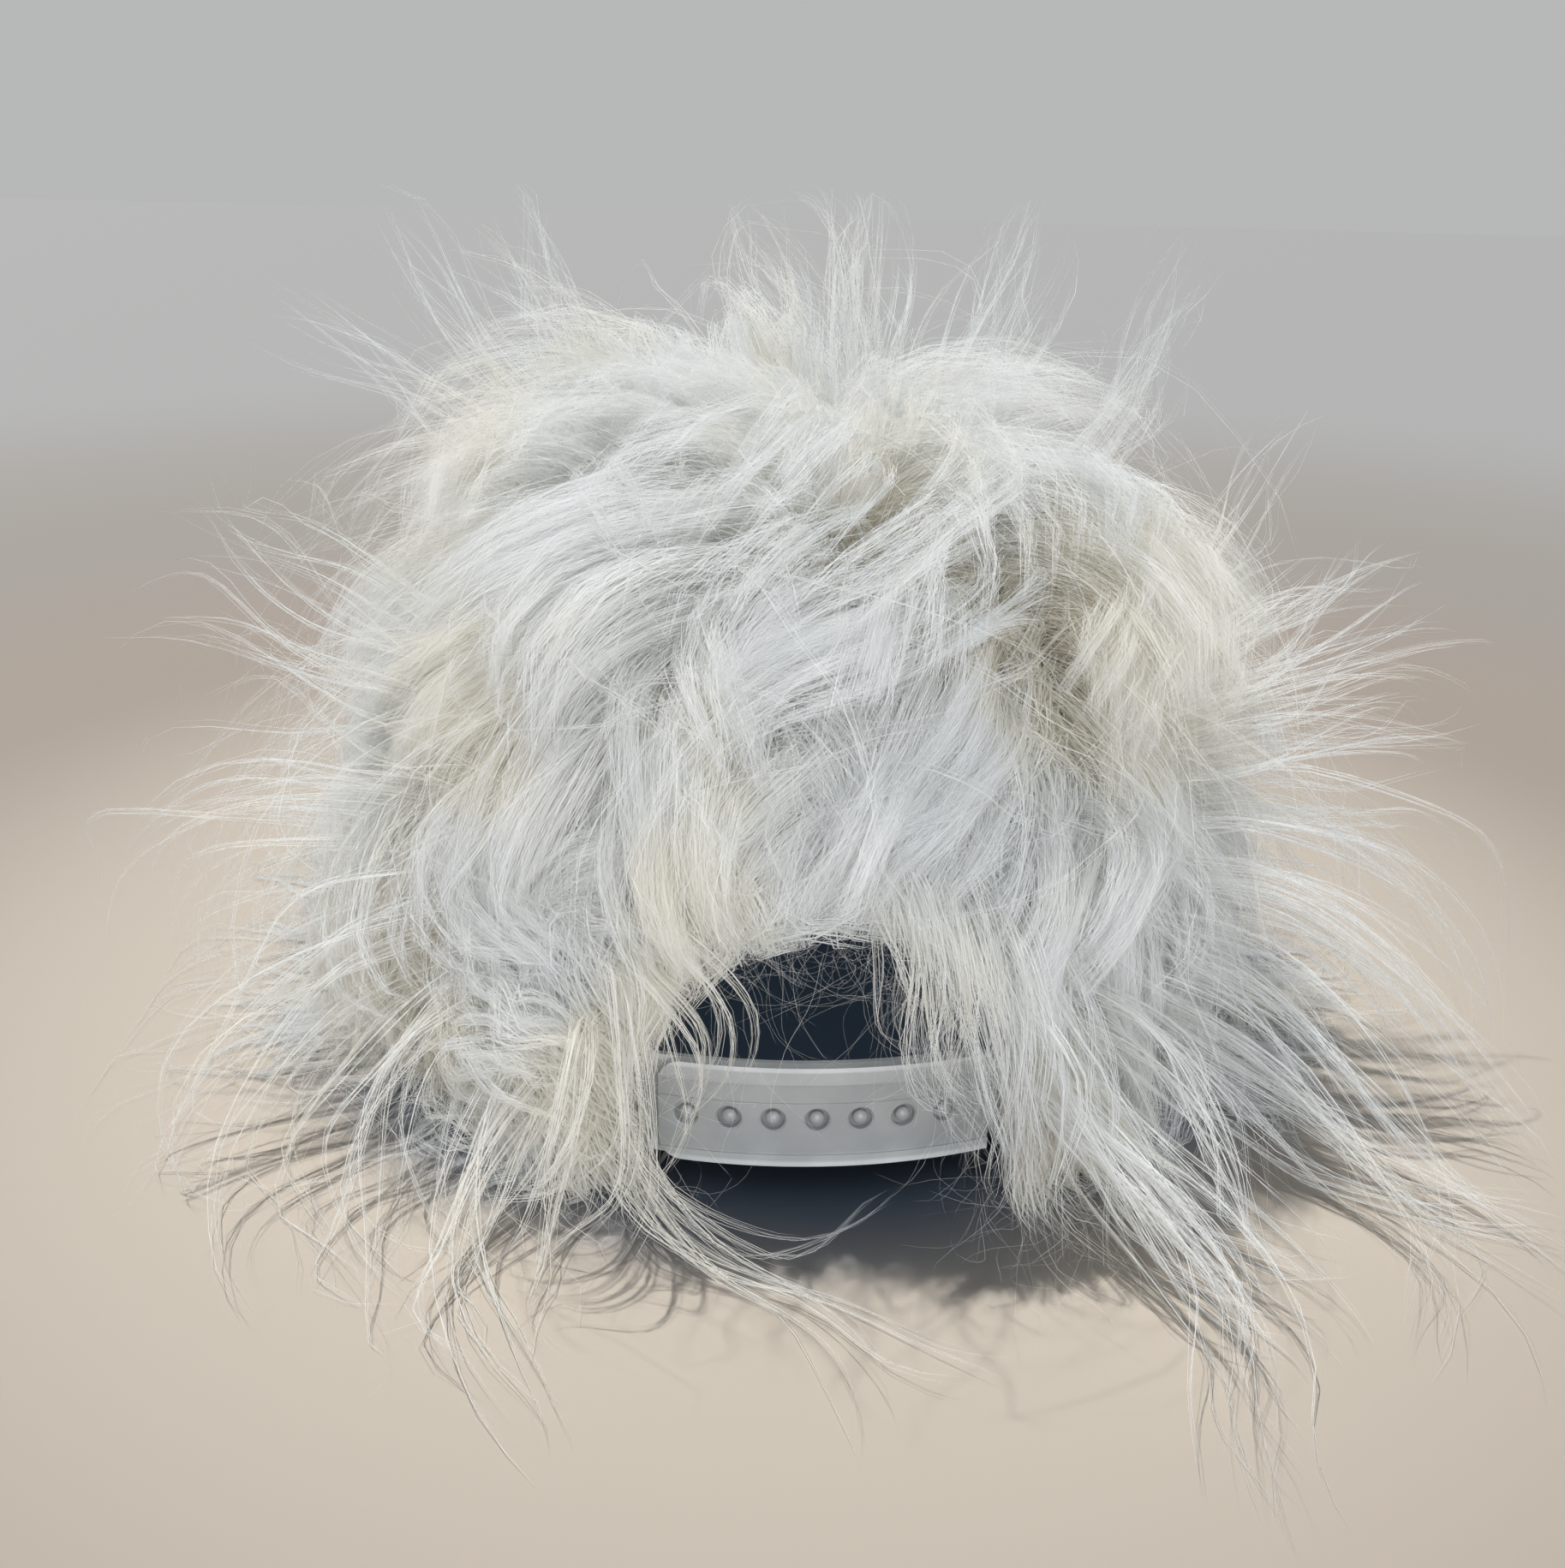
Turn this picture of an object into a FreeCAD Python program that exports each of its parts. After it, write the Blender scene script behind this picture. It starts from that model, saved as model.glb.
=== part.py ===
"""Shaggy faux-fur snapback cap, as an assembly of separate sewn, moulded and riveted pieces.

Frame: +Z up, z = 0 is the table, +Y is the front of the cap (the brim), -Y is the back
(the arched opening with its snap strap), and the origin is the middle of the head opening.
All sizes are in millimetres.
"""
import FreeCAD, Part
import math
import os

from FreeCAD import Vector

# ---------------------------------------------------------------- driving dimensions
CROWN_HALF_WIDTH = 84.0       # outside of the cloth crown, along X
CROWN_HALF_LENGTH = 105.0     # along Y
CROWN_HEIGHT = 118.0          # table to the top of the cloth
PROFILE_SIDE_POWER = 2.3      # superellipse powers of the crown's profile
PROFILE_TOP_POWER = 2.1
RIM_HEIGHT = 6.0              # lower edge of the cloth above the table

PILE_SIDE_REACH = 50.0        # reach of the long pile beyond the cloth, to the sides
PILE_END_REACH = 40.0         # to the front and the back, where it lies flatter
PILE_TOP_REACH = 54.0
PILE_WIDEST_HEIGHT = 45.0
PILE_TUCK = 14.0              # how far the pile draws back in at the table
PILE_SIDE_POWER = 2.1         # superellipse power of the pile's sides
PILE_WHIRL_RADIUS = 1.2       # where the pile parts over the button
PANEL_COUNT = 6
SEAM_GAP = 0.2

LINING = (-0.9, -0.1)         # offsets of each layer from the crown surface
BUCKRAM = (0.0, 0.6)
TAPE = (-1.8, -1.1)
HOLE_TAB = (-3.4, -2.0)
HOLE_TACK = (-4.0, -3.5)
PEG_TACK = (-3.45, -2.95)
PEG_TAB = (-4.95, -3.6)
SWEATBAND = (-6.6, -5.2)
FRONT_PILE_START = 0.7
PILE_START = 0.1

TAPE_WIDTH = 10.0
TAPE_LOW = 39.0
TAPE_INNER_RADIUS = 11.0
SWEATBAND_TOP = 38.0

ARCH_HALF_WIDTH = 37.5        # rear opening in the cloth
ARCH_SPRING_HEIGHT = 25.0     # where the straight sides become the arch
ARCH_BINDING_WIDTH = 8.0
FLARE_START_Y = -88.0         # the pile parts around the opening like a funnel
FLARE_END_Y = -158.0
FLARE_EXTRA_WIDTH = 27.0
FLARE_EXTRA_HEIGHT = 49.0
FLARE_CLEARANCE = 0.8
FLARE_RUN_IN = 20.0           # straight stretch of the funnel inside the cloth
BINDING_CLEARANCE = 0.3
LINER_CLEARANCE = 0.5         # sweatband and rim binding stop short of the opening
RIM_BINDING_THICKNESS = 1.6
RIM_BINDING_GAP = 0.2

STRAP_HEIGHT = 21.0
STRAP_MID_HEIGHT = 17.5
STRAP_LEAN_DEG = 6.0          # the strap leans in with the crown wall
STRAP_RADIUS = 100.0          # outer face of the strap with the holes
STRAP_HINGE_X = 34.5          # where each strap bends, next to its stitching
STRAP_SET_BACK = 0.8          # the strap's outer face behind the tab's, at the bend
STRAP_TIP_X = 30.5
STRAP_TIP_CORNER = 4.5
HOLE_STRAP_THICKNESS = 1.5
PEG_STRAP_THICKNESS = 1.3
STRAP_GAP = 0.15
SNAP_PITCH = 8.5
SNAP_COUNT = 7
SNAP_ROW_DROP = 0.7           # the snap row sits just under the strap's middle
HOLE_RADIUS = 2.3
HOLE_LIP_RADIUS = 2.7
HOLE_LIP_DEPTH = 0.4
PEG_RADIUS = 1.5
PEG_HEIGHT = 1.9
PEG_DOME_SHARE = 0.6          # rise of the peg's domed end, as a share of its radius
RAIL_PROUD = 0.45
TOP_RAIL_HEIGHT = 3.6
BOTTOM_RAIL_HEIGHT = 2.4
SNAP_BAND_HEIGHT = 7.2
SNAP_BAND_PROUD = 0.2
TAB_START_X = 36.0
TAB_END_X = 51.0
TAB_HEIGHT = 19.0
TACK_XS = (40.0, 46.0)
TACK_WIDTH = 1.8
TACK_HEIGHT = 15.0

BRIM_MID_TOP = 19.2           # top of the brim where it meets the front seam
BRIM_BOW_RADIUS = 302.0       # the brim's gentle side-to-side bow
BRIM_BOARD = 1.8
BRIM_COVER = 0.7
BRIM_LAYER_GAP = 0.1
BRIM_REACH_Y = 175.0
BRIM_START_Y = 22.0
BRIM_BINDING_WIDTH = 1.4
BRIM_BINDING_PROUD = 0.35
BRIM_CROWN_GAP = 0.9
BRIM_BOARD_INSET = 2.4
BRIM_OUTLINE = ((81.0, 22.0), (88.5, 48.0), (92.5, 82.0), (89.0, 116.0),
                (74.0, 147.0), (42.0, 168.0), (0.0, BRIM_REACH_Y))
PILE_BRIM_GAP = 0.6
PILE_BRIM_MARGIN = 1.5

BUTTON_RADIUS = 7.5
BUTTON_HEIGHT = 5.0
BUTTON_SHELL = 0.8
RIVET_RADIUS = 1.6
RIVET_HOLE_RADIUS = 1.75
RIVET_HEAD_RADIUS = 5.5
RIVET_HEAD_HEIGHT = 2.6
BACK_PLATE_RADIUS = 9.0
BACK_PLATE_THICKNESS = 1.2
BUTTON_POCKET_MARGIN = 1.0    # room that the pile leaves round the button

TRAIL_LOCK_POINTS = ((58.0, -104.0, 16.0), (66.0, -124.0, 11.5),
                     (70.0, -149.0, 7.0), (64.0, -175.0, 3.0))
TRAIL_LOCK_RADII = (9.0, 8.0, 5.5, 2.2)

BIG = 400.0
PARTS_FOLDER = "parts"


# ---------------------------------------------------------------- helpers
def box(x0, x1, y0, y1, z0, z1):
    return Part.makeBox(x1 - x0, y1 - y0, z1 - z0, Vector(x0, y0, z0))


def upright(radius, z0, z1, x=0.0, y=0.0):
    return Part.makeCylinder(radius, z1 - z0, Vector(x, y, z0))


def revolve_oval(profile, half_width, half_length):
    """Turn an (r, z) profile about Z and stretch it along Y into an oval dome."""
    low_r, low_z = profile[0]
    top_r, top_z = profile[-1]
    curve = Part.BSplineCurve()
    curve.interpolate([Vector(r, 0, z) for r, z in profile])
    edges = [
        Part.makeLine(Vector(0, 0, low_z), Vector(low_r, 0, low_z)),
        curve.toShape(),
        Part.makeLine(Vector(top_r, 0, top_z), Vector(0, 0, low_z)),
    ]
    solid = Part.Face(Part.Wire(edges)).revolve(Vector(0, 0, 0), Vector(0, 0, 1), 360)
    stretch = FreeCAD.Matrix()
    stretch.scale(1.0, half_length / half_width, 1.0)
    return solid.transformGeometry(stretch)


def crown_dome(offset):
    """Solid inside the crown surface moved out by offset."""
    half_width = CROWN_HALF_WIDTH + offset
    height = CROWN_HEIGHT + offset
    steps = 16
    profile = [(half_width, -20.0), (half_width, -8.0)]
    for i in range(steps + 1):
        turn = 0.5 * math.pi * i / steps
        r = half_width * max(math.cos(turn), 0.0) ** (2.0 / PROFILE_SIDE_POWER)
        z = height * math.sin(turn) ** (2.0 / PROFILE_TOP_POWER)
        profile.append((r, z))
    profile[-1] = (0.0, height)
    return revolve_oval(profile, half_width, CROWN_HALF_LENGTH + offset)


def pile_dome():
    """Outer reach of the long pile: widest above the table, drawn in a little under it."""
    half_width = CROWN_HALF_WIDTH + PILE_SIDE_REACH
    top = CROWN_HEIGHT + PILE_TOP_REACH
    steps = 14
    profile = []
    for i in range(-1, 4):
        z = PILE_WIDEST_HEIGHT * i / 4.0
        drop = (PILE_WIDEST_HEIGHT - z) / PILE_WIDEST_HEIGHT
        profile.append((half_width - PILE_TUCK * drop ** 2, z))
    for i in range(steps + 1):
        turn = 0.5 * math.pi * i / steps
        r = half_width * max(math.cos(turn), 0.0) ** (2.0 / PILE_SIDE_POWER)
        z = PILE_WIDEST_HEIGHT + (top - PILE_WIDEST_HEIGHT) * math.sin(turn)
        profile.append((r, z))
    profile[-1] = (0.0, top)
    return revolve_oval(profile, half_width, CROWN_HALF_LENGTH + PILE_END_REACH)


def shell(layer):
    inner, outer = layer
    return crown_dome(outer).cut(crown_dome(inner))


def wedge(mid_deg, z0, z1):
    """One of six upright sectors, drawn back from its neighbours by the seam gap."""
    half = math.pi / PANEL_COUNT
    mid = math.radians(mid_deg)
    start = Vector(SEAM_GAP * math.cos(mid), SEAM_GAP * math.sin(mid), z0)
    corners = [start]
    for side in (-half, half):
        corners.append(start + Vector(BIG * math.cos(mid + side), BIG * math.sin(mid + side), 0))
    face = Part.Face(Part.makePolygon(corners + [start]))
    return face.extrude(Vector(0, 0, z1 - z0))


def arch_wire(half_width, spring, y):
    """Arch outline in the plane at y: straight sides from below the table, round top."""
    low = -15.0
    left_low = Vector(-half_width, y, low)
    right_low = Vector(half_width, y, low)
    left_top = Vector(-half_width, y, spring)
    right_top = Vector(half_width, y, spring)
    crest = Vector(0, y, spring + half_width)
    return Part.Wire([
        Part.makeLine(left_low, right_low),
        Part.makeLine(right_low, right_top),
        Part.Arc(right_top, crest, left_top).toShape(),
        Part.makeLine(left_top, left_low),
    ])


def arch_tunnel(margin):
    wire = arch_wire(ARCH_HALF_WIDTH + margin, ARCH_SPRING_HEIGHT, -BIG)
    return Part.Face(wire).extrude(Vector(0, BIG - 40.0, 0))


def arch_funnel():
    """Space that the parted pile leaves free around the opening."""
    near_half = ARCH_HALF_WIDTH + FLARE_CLEARANCE
    near = arch_wire(near_half, ARCH_SPRING_HEIGHT, FLARE_START_Y + FLARE_RUN_IN)
    mid = arch_wire(near_half, ARCH_SPRING_HEIGHT, FLARE_START_Y)
    far_half = near_half + FLARE_EXTRA_WIDTH
    far_spring = ARCH_SPRING_HEIGHT + FLARE_EXTRA_HEIGHT - FLARE_EXTRA_WIDTH
    far = arch_wire(far_half, far_spring, FLARE_END_Y)
    straight = Part.makeLoft([near, mid], True, True)
    flared = Part.makeLoft([mid, far], True, True)
    return straight.fuse(flared)


def brim_bow(drop):
    """Everything under the brim's bowed surface, drop below its top face."""
    radius = BRIM_BOW_RADIUS - drop
    start = Vector(0, 0, BRIM_MID_TOP - BRIM_BOW_RADIUS)
    return Part.makeCylinder(radius, BIG, start, Vector(0, 1, 0))


def mirrored_prism(right, height):
    """Upright prism on a smooth outline through the right-hand points and their mirror."""
    left = [Vector(-p.x, p.y, p.z) for p in reversed(right[:-1])]
    curve = Part.BSplineCurve()
    curve.interpolate(right + left)
    outline = Part.Wire([curve.toShape(), Part.makeLine(left[-1], right[0])])
    return Part.Face(outline).extrude(Vector(0, 0, height))


def brim_plan(inset):
    """Upright prism of the brim's outline, drawn in by inset, with the crown taken out."""
    scale_x = (BRIM_OUTLINE[2][0] - inset) / BRIM_OUTLINE[2][0]
    scale_y = (BRIM_REACH_Y - BRIM_START_Y - inset) / (BRIM_REACH_Y - BRIM_START_Y)
    right = [Vector(x * scale_x, BRIM_START_Y + (y - BRIM_START_Y) * scale_y, -10)
             for x, y in BRIM_OUTLINE]
    plan = mirrored_prism(right, 60)
    crown = Part.Ellipse(Vector(0, CROWN_HALF_LENGTH + BRIM_CROWN_GAP, 0),
                         Vector(CROWN_HALF_WIDTH + BRIM_CROWN_GAP, 0, 0), Vector(0, 0, 0))
    hole = Part.Face(Part.Wire(crown.toShape())).extrude(Vector(0, 0, 120))
    hole.translate(Vector(0, 0, -30))
    return plan.cut(hole)


def over_brim_zone():
    """Room that the front pile leaves over the brim, a little wider than its outline."""
    right = [Vector(x + (PILE_BRIM_MARGIN if x else 0.0), y, -20) for x, y in BRIM_OUTLINE]
    right[0] = Vector(right[0].x, BRIM_START_Y - PILE_BRIM_MARGIN, -20)
    right[-1] = Vector(0, BRIM_REACH_Y + PILE_BRIM_MARGIN, -20)
    front = box(-BIG, BIG, BRIM_START_Y - PILE_BRIM_MARGIN, BIG, -50, 60)
    return brim_bow(-PILE_BRIM_GAP).common(front).common(mirrored_prism(right, 80))


def front_under():
    """Space under the brim's lower face, which the crown's front edge follows."""
    drop = BRIM_BOARD + 2 * BRIM_COVER + 2 * BRIM_LAYER_GAP
    return brim_bow(drop).common(box(-BIG, BIG, BRIM_START_Y, BIG, -50, 60))


def largest(shape):
    return max(shape.Solids, key=lambda solid: solid.Volume)


def export(name, solids):
    for solid in solids:
        if not solid.isValid():
            print("invalid solid in", name)
    shape = solids[0] if len(solids) == 1 else Part.makeCompound(solids)
    shape.exportStep(os.path.join(PARTS_FOLDER, name + ".step"))
    bounds = shape.BoundBox
    volume = sum(solid.Volume for solid in solids) / 1000.0
    sizes = (bounds.XMin, bounds.XMax, bounds.YMin, bounds.YMax, bounds.ZMin, bounds.ZMax)
    print("%-22s %2d solids %9.2f cm3" % (name, len(solids), volume),
          " x %7.1f %7.1f  y %7.1f %7.1f  z %7.1f %7.1f" % sizes)


# ---------------------------------------------------------------- crown
PANELS = (("front_right", 60.0), ("side_right", 0.0), ("rear_right", -60.0),
          ("rear_left", -120.0), ("side_left", 180.0), ("front_left", 120.0))


def fur_panels(outer):
    """Long-pile cloth panels, each with its pile as one closed soft solid."""
    pocket = upright(BUTTON_RADIUS + BUTTON_POCKET_MARGIN, CROWN_HEIGHT - 10,
                     CROWN_HEIGHT + BUTTON_HEIGHT + BUTTON_POCKET_MARGIN + 0.5)
    whirl = upright(PILE_WHIRL_RADIUS, CROWN_HEIGHT - 20, CROWN_HEIGHT + 80)
    brim_zone = over_brim_zone()
    funnel = arch_funnel()
    for name, mid_deg in PANELS:
        front = name.startswith("front")
        inner = crown_dome(FRONT_PILE_START if front else PILE_START)
        pile = outer.common(wedge(mid_deg, 0.0, CROWN_HEIGHT + 80)).cut(inner)
        pile = pile.cut(pocket).cut(whirl)
        pile = pile.cut(funnel if name.startswith("rear") else brim_zone)
        export("fur_" + name, [largest(pile)])


def cloth_panels(prefix, layer, only_front):
    """Thin inner panels: the lining on all six, the stiff buckram on the front two."""
    skin = shell(layer).cut(upright(RIVET_HOLE_RADIUS, 60, 200))
    arch = arch_tunnel(0.0)
    under = front_under()
    for name, mid_deg in PANELS:
        if only_front and not name.startswith("front"):
            continue
        panel = skin.common(wedge(mid_deg, RIM_HEIGHT, CROWN_HEIGHT + 20))
        panel = panel.cut(arch if name.startswith("rear") else under)
        export(prefix + name, [largest(panel)])


def seam_tapes():
    """Tape over each inside seam, from the sweatband (or the arch) to the button plate."""
    skin = shell(TAPE)
    arch = arch_tunnel(ARCH_BINDING_WIDTH + BINDING_CLEARANCE)
    names = ("front", "front_right", "rear_right", "rear", "rear_left", "front_left")
    for i, name in enumerate(names):
        strip = box(TAPE_INNER_RADIUS, BIG, -0.5 * TAPE_WIDTH, 0.5 * TAPE_WIDTH, TAPE_LOW, 200)
        strip.rotate(Vector(0, 0, 0), Vector(0, 0, 1), 90.0 - 60.0 * i)
        tape = skin.common(strip)
        if name == "rear":
            tape = tape.cut(arch)
        export("seam_tape_" + name, [largest(tape)])


def arch_binding():
    band = arch_tunnel(ARCH_BINDING_WIDTH).cut(arch_tunnel(0.0))
    band = band.common(box(-BIG, BIG, -BIG, -40, RIM_HEIGHT, 200))
    export("arch_binding", [largest(shell(TAPE).common(band))])


def sweatband():
    ring = shell(SWEATBAND).common(box(-BIG, BIG, -BIG, BIG, RIM_HEIGHT, SWEATBAND_TOP))
    ring = ring.cut(front_under()).cut(arch_tunnel(LINER_CLEARANCE))
    export("sweatband", [largest(ring)])


def rim_bindings():
    """Folded tape that closes the lower edge from the brim's ends to the rear opening."""
    ring = crown_dome(-0.1).cut(crown_dome(SWEATBAND[0]))
    top = RIM_HEIGHT - RIM_BINDING_GAP
    ring = ring.common(box(-BIG, BIG, -BIG, BRIM_START_Y - 2, top - RIM_BINDING_THICKNESS, top))
    ring = ring.cut(arch_tunnel(LINER_CLEARANCE))
    for name, sign in (("right", 1), ("left", -1)):
        half = box(0, BIG, -BIG, BIG, 0, 20) if sign > 0 else box(-BIG, 0, -BIG, BIG, 0, 20)
        export("rim_binding_" + name, [largest(ring.common(half))])


# ---------------------------------------------------------------- button
def top_button():
    """Cloth-covered button on a rivet, closed by a plate on the inside."""
    seat = CROWN_HEIGHT + FRONT_PILE_START + 0.2
    cap_sphere = (BUTTON_RADIUS ** 2 + BUTTON_HEIGHT ** 2) / (2 * BUTTON_HEIGHT)
    centre = Vector(0, 0, seat + BUTTON_HEIGHT - cap_sphere)
    above = box(-BIG, BIG, -BIG, BIG, seat, seat + 50)
    inside = Part.makeSphere(cap_sphere - BUTTON_SHELL, centre)
    cap = Part.makeSphere(cap_sphere, centre).cut(inside).common(above)
    export("button_cap", [largest(cap)])
    head = Part.makeSphere(cap_sphere - BUTTON_SHELL - 0.1, centre)
    head = head.common(upright(RIVET_HEAD_RADIUS, seat + 0.2, seat + 0.2 + RIVET_HEAD_HEIGHT))
    plate_top = CROWN_HEIGHT + TAPE[0] - 0.4
    stem = upright(RIVET_RADIUS, plate_top - BACK_PLATE_THICKNESS, seat + 0.4)
    export("button_rivet", [largest(head.fuse(stem))])
    plate = upright(BACK_PLATE_RADIUS, plate_top - BACK_PLATE_THICKNESS, plate_top)
    plate = plate.cut(upright(RIVET_RADIUS, plate_top - 5, plate_top + 5))
    export("button_back_plate", [plate])


# ---------------------------------------------------------------- brim
def brim():
    """Stiff board between two cloth covers, with a bound outer edge."""
    top = (0.0, BRIM_COVER)
    board = (top[1] + BRIM_LAYER_GAP, top[1] + BRIM_LAYER_GAP + BRIM_BOARD)
    under = (board[1] + BRIM_LAYER_GAP, board[1] + BRIM_LAYER_GAP + BRIM_COVER)
    plan = brim_plan(BRIM_BINDING_WIDTH + 0.1)
    board_plan = brim_plan(BRIM_BOARD_INSET)
    layers = (("brim_top_cover", top, plan), ("brim_board", board, board_plan), ("brim_under_cover", under, plan))
    for name, layer, outline in layers:
        slab = brim_bow(layer[0]).cut(brim_bow(layer[1]))
        export(name, [largest(slab.common(outline))])
    edge = brim_bow(-BRIM_BINDING_PROUD).cut(brim_bow(under[1] + BRIM_BINDING_PROUD))
    ring = brim_plan(0.0).cut(brim_plan(BRIM_BINDING_WIDTH))
    export("brim_edge_binding", [largest(edge.common(ring))])


# ---------------------------------------------------------------- snap strap
def strap_axis_y():
    """Y of the straps' common bend axis, so that the outer face meets the sewn tab."""
    half_width = CROWN_HALF_WIDTH + HOLE_TAB[1]
    half_length = CROWN_HALF_LENGTH + HOLE_TAB[1]
    wall_y = -half_length * math.sqrt(1 - (STRAP_HINGE_X / half_width) ** 2) + STRAP_SET_BACK
    return wall_y + math.sqrt(STRAP_RADIUS ** 2 - STRAP_HINGE_X ** 2)


def lean(shape):
    """Tip a strap back with the crown wall, about the strap's mid-height."""
    pivot = Vector(0, strap_axis_y() - STRAP_RADIUS, STRAP_MID_HEIGHT)
    shape.rotate(pivot, Vector(1, 0, 0), -STRAP_LEAN_DEG)
    return shape


def strap_ring(inner, outer, z0, z1):
    y = strap_axis_y()
    ring = upright(outer, z0, z1, 0, y).cut(upright(inner, z0 - 1, z1 + 1, 0, y))
    return ring.common(box(-60, 60, -200, y - 50, z0, z1))


def strap_outline(tip_x, root_x, corner):
    """Strap outline seen from behind, with a rounded tip, as a prism along Y."""
    low = STRAP_MID_HEIGHT - 0.5 * STRAP_HEIGHT
    high = STRAP_MID_HEIGHT + 0.5 * STRAP_HEIGHT
    side = 1 if root_x > tip_x else -1
    bend = corner * (1 - math.sqrt(0.5))
    inset_x = tip_x + side * corner
    y = -200
    edges = [
        Part.makeLine(Vector(root_x, y, low), Vector(inset_x, y, low)),
        Part.Arc(Vector(inset_x, y, low), Vector(tip_x + side * bend, y, low + bend),
                 Vector(tip_x, y, low + corner)).toShape(),
        Part.makeLine(Vector(tip_x, y, low + corner), Vector(tip_x, y, high - corner)),
        Part.Arc(Vector(tip_x, y, high - corner), Vector(tip_x + side * bend, y, high - bend),
                 Vector(inset_x, y, high)).toShape(),
        Part.makeLine(Vector(inset_x, y, high), Vector(root_x, y, high)),
        Part.makeLine(Vector(root_x, y, high), Vector(root_x, y, low)),
    ]
    return Part.Face(Part.Wire(edges)).extrude(Vector(0, 150, 0))


def snap_places():
    """Outward direction of each snap from the bend axis of the straps."""
    places = []
    for i in range(SNAP_COUNT):
        turn = SNAP_PITCH * (i - 0.5 * (SNAP_COUNT - 1)) / STRAP_RADIUS
        places.append(Vector(math.sin(turn), -math.cos(turn), 0))
    return places


def hole_strap():
    """Outer strap: raised rails, a raised snap band and a row of lipped holes."""
    low = STRAP_MID_HEIGHT - 0.5 * STRAP_HEIGHT
    high = STRAP_MID_HEIGHT + 0.5 * STRAP_HEIGHT
    row = STRAP_MID_HEIGHT - SNAP_ROW_DROP
    inner = STRAP_RADIUS - HOLE_STRAP_THICKNESS
    strap = strap_ring(inner, STRAP_RADIUS, low, high)
    strap = strap.fuse(strap_ring(inner, STRAP_RADIUS + RAIL_PROUD, high - TOP_RAIL_HEIGHT, high))
    strap = strap.fuse(strap_ring(inner, STRAP_RADIUS + RAIL_PROUD, low, low + BOTTOM_RAIL_HEIGHT))
    band = strap_ring(inner, STRAP_RADIUS + SNAP_BAND_PROUD,
                      row - 0.5 * SNAP_BAND_HEIGHT, row + 0.5 * SNAP_BAND_HEIGHT)
    strap = strap.fuse(band)
    strap = strap.common(strap_outline(-STRAP_TIP_X, STRAP_HINGE_X, STRAP_TIP_CORNER))
    centre = Vector(0, strap_axis_y(), row)
    face = STRAP_RADIUS + SNAP_BAND_PROUD
    for out in snap_places():
        hole = Part.makeCylinder(HOLE_RADIUS, 8, centre + out * (inner - 4), out)
        lip = Part.makeCone(HOLE_RADIUS, HOLE_LIP_RADIUS, HOLE_LIP_DEPTH,
                            centre + out * (face - HOLE_LIP_DEPTH), out)
        strap = strap.cut(hole).cut(lip)
    export("hole_strap", [lean(largest(strap))])


def peg_strap():
    """Inner strap with a row of domed pegs that snap into the holes."""
    low = STRAP_MID_HEIGHT - 0.5 * STRAP_HEIGHT
    high = STRAP_MID_HEIGHT + 0.5 * STRAP_HEIGHT
    row = STRAP_MID_HEIGHT - SNAP_ROW_DROP
    outer = STRAP_RADIUS - HOLE_STRAP_THICKNESS - STRAP_GAP
    strap = strap_ring(outer - PEG_STRAP_THICKNESS, outer, low, high)
    strap = strap.common(strap_outline(STRAP_TIP_X, -STRAP_HINGE_X, STRAP_TIP_CORNER))
    centre = Vector(0, strap_axis_y(), row)
    dome_rise = PEG_DOME_SHARE * PEG_RADIUS
    post = PEG_HEIGHT - dome_rise
    dome_radius = (PEG_RADIUS ** 2 + dome_rise ** 2) / (2 * dome_rise)
    for out in snap_places():
        stem = Part.makeCylinder(PEG_RADIUS, 0.5 + post, centre + out * (outer - 0.5), out)
        tall = Part.makeCylinder(PEG_RADIUS, 0.5 + PEG_HEIGHT + 1, centre + out * (outer - 0.5), out)
        dome = Part.makeSphere(dome_radius, centre + out * (outer + PEG_HEIGHT - dome_radius)).common(tall)
        strap = strap.fuse(stem).fuse(dome)
    export("peg_strap", [lean(largest(strap))])


def strap_tabs():
    """Sewn ends of the two straps, held between the lining and the sweatband, and their stitches."""
    low = STRAP_MID_HEIGHT - 0.5 * TAB_HEIGHT
    tack_low = STRAP_MID_HEIGHT - 0.5 * TACK_HEIGHT
    for name, sign, tab, tack in (("hole_strap", 1, HOLE_TAB, HOLE_TACK), ("peg_strap", -1, PEG_TAB, PEG_TACK)):
        x0, x1 = sorted((sign * TAB_START_X, sign * TAB_END_X))
        region = box(x0, x1, -BIG, -40, low, low + TAB_HEIGHT)
        export(name + "_tab", [largest(shell(tab).common(region))])
        bars = []
        for x in TACK_XS:
            start, end = sorted((sign * x, sign * (x + TACK_WIDTH)))
            bar = box(start, end, -BIG, -40, tack_low, tack_low + TACK_HEIGHT)
            bars.append(largest(shell(tack).common(bar)))
        export(name + "_tacks", bars)


# ---------------------------------------------------------------- loose lock of pile
def trailing_lock(outer):
    """Long lock that falls from the right rear panel and lies out on the table."""
    sections = []
    points = [Vector(*p) for p in TRAIL_LOCK_POINTS]
    for i, (point, radius) in enumerate(zip(points, TRAIL_LOCK_RADII)):
        before = points[max(i - 1, 0)]
        after = points[min(i + 1, len(points) - 1)]
        along = Vector(after.x - before.x, after.y - before.y, 0)
        sections.append(Part.Wire(Part.Circle(point, along, radius).toShape()))
    lock = Part.makeLoft(sections, True, False)
    lock = lock.common(box(-BIG, BIG, -BIG, BIG, 0.0, 100)).cut(outer)
    export("fur_trailing_lock", [largest(lock)])


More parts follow.
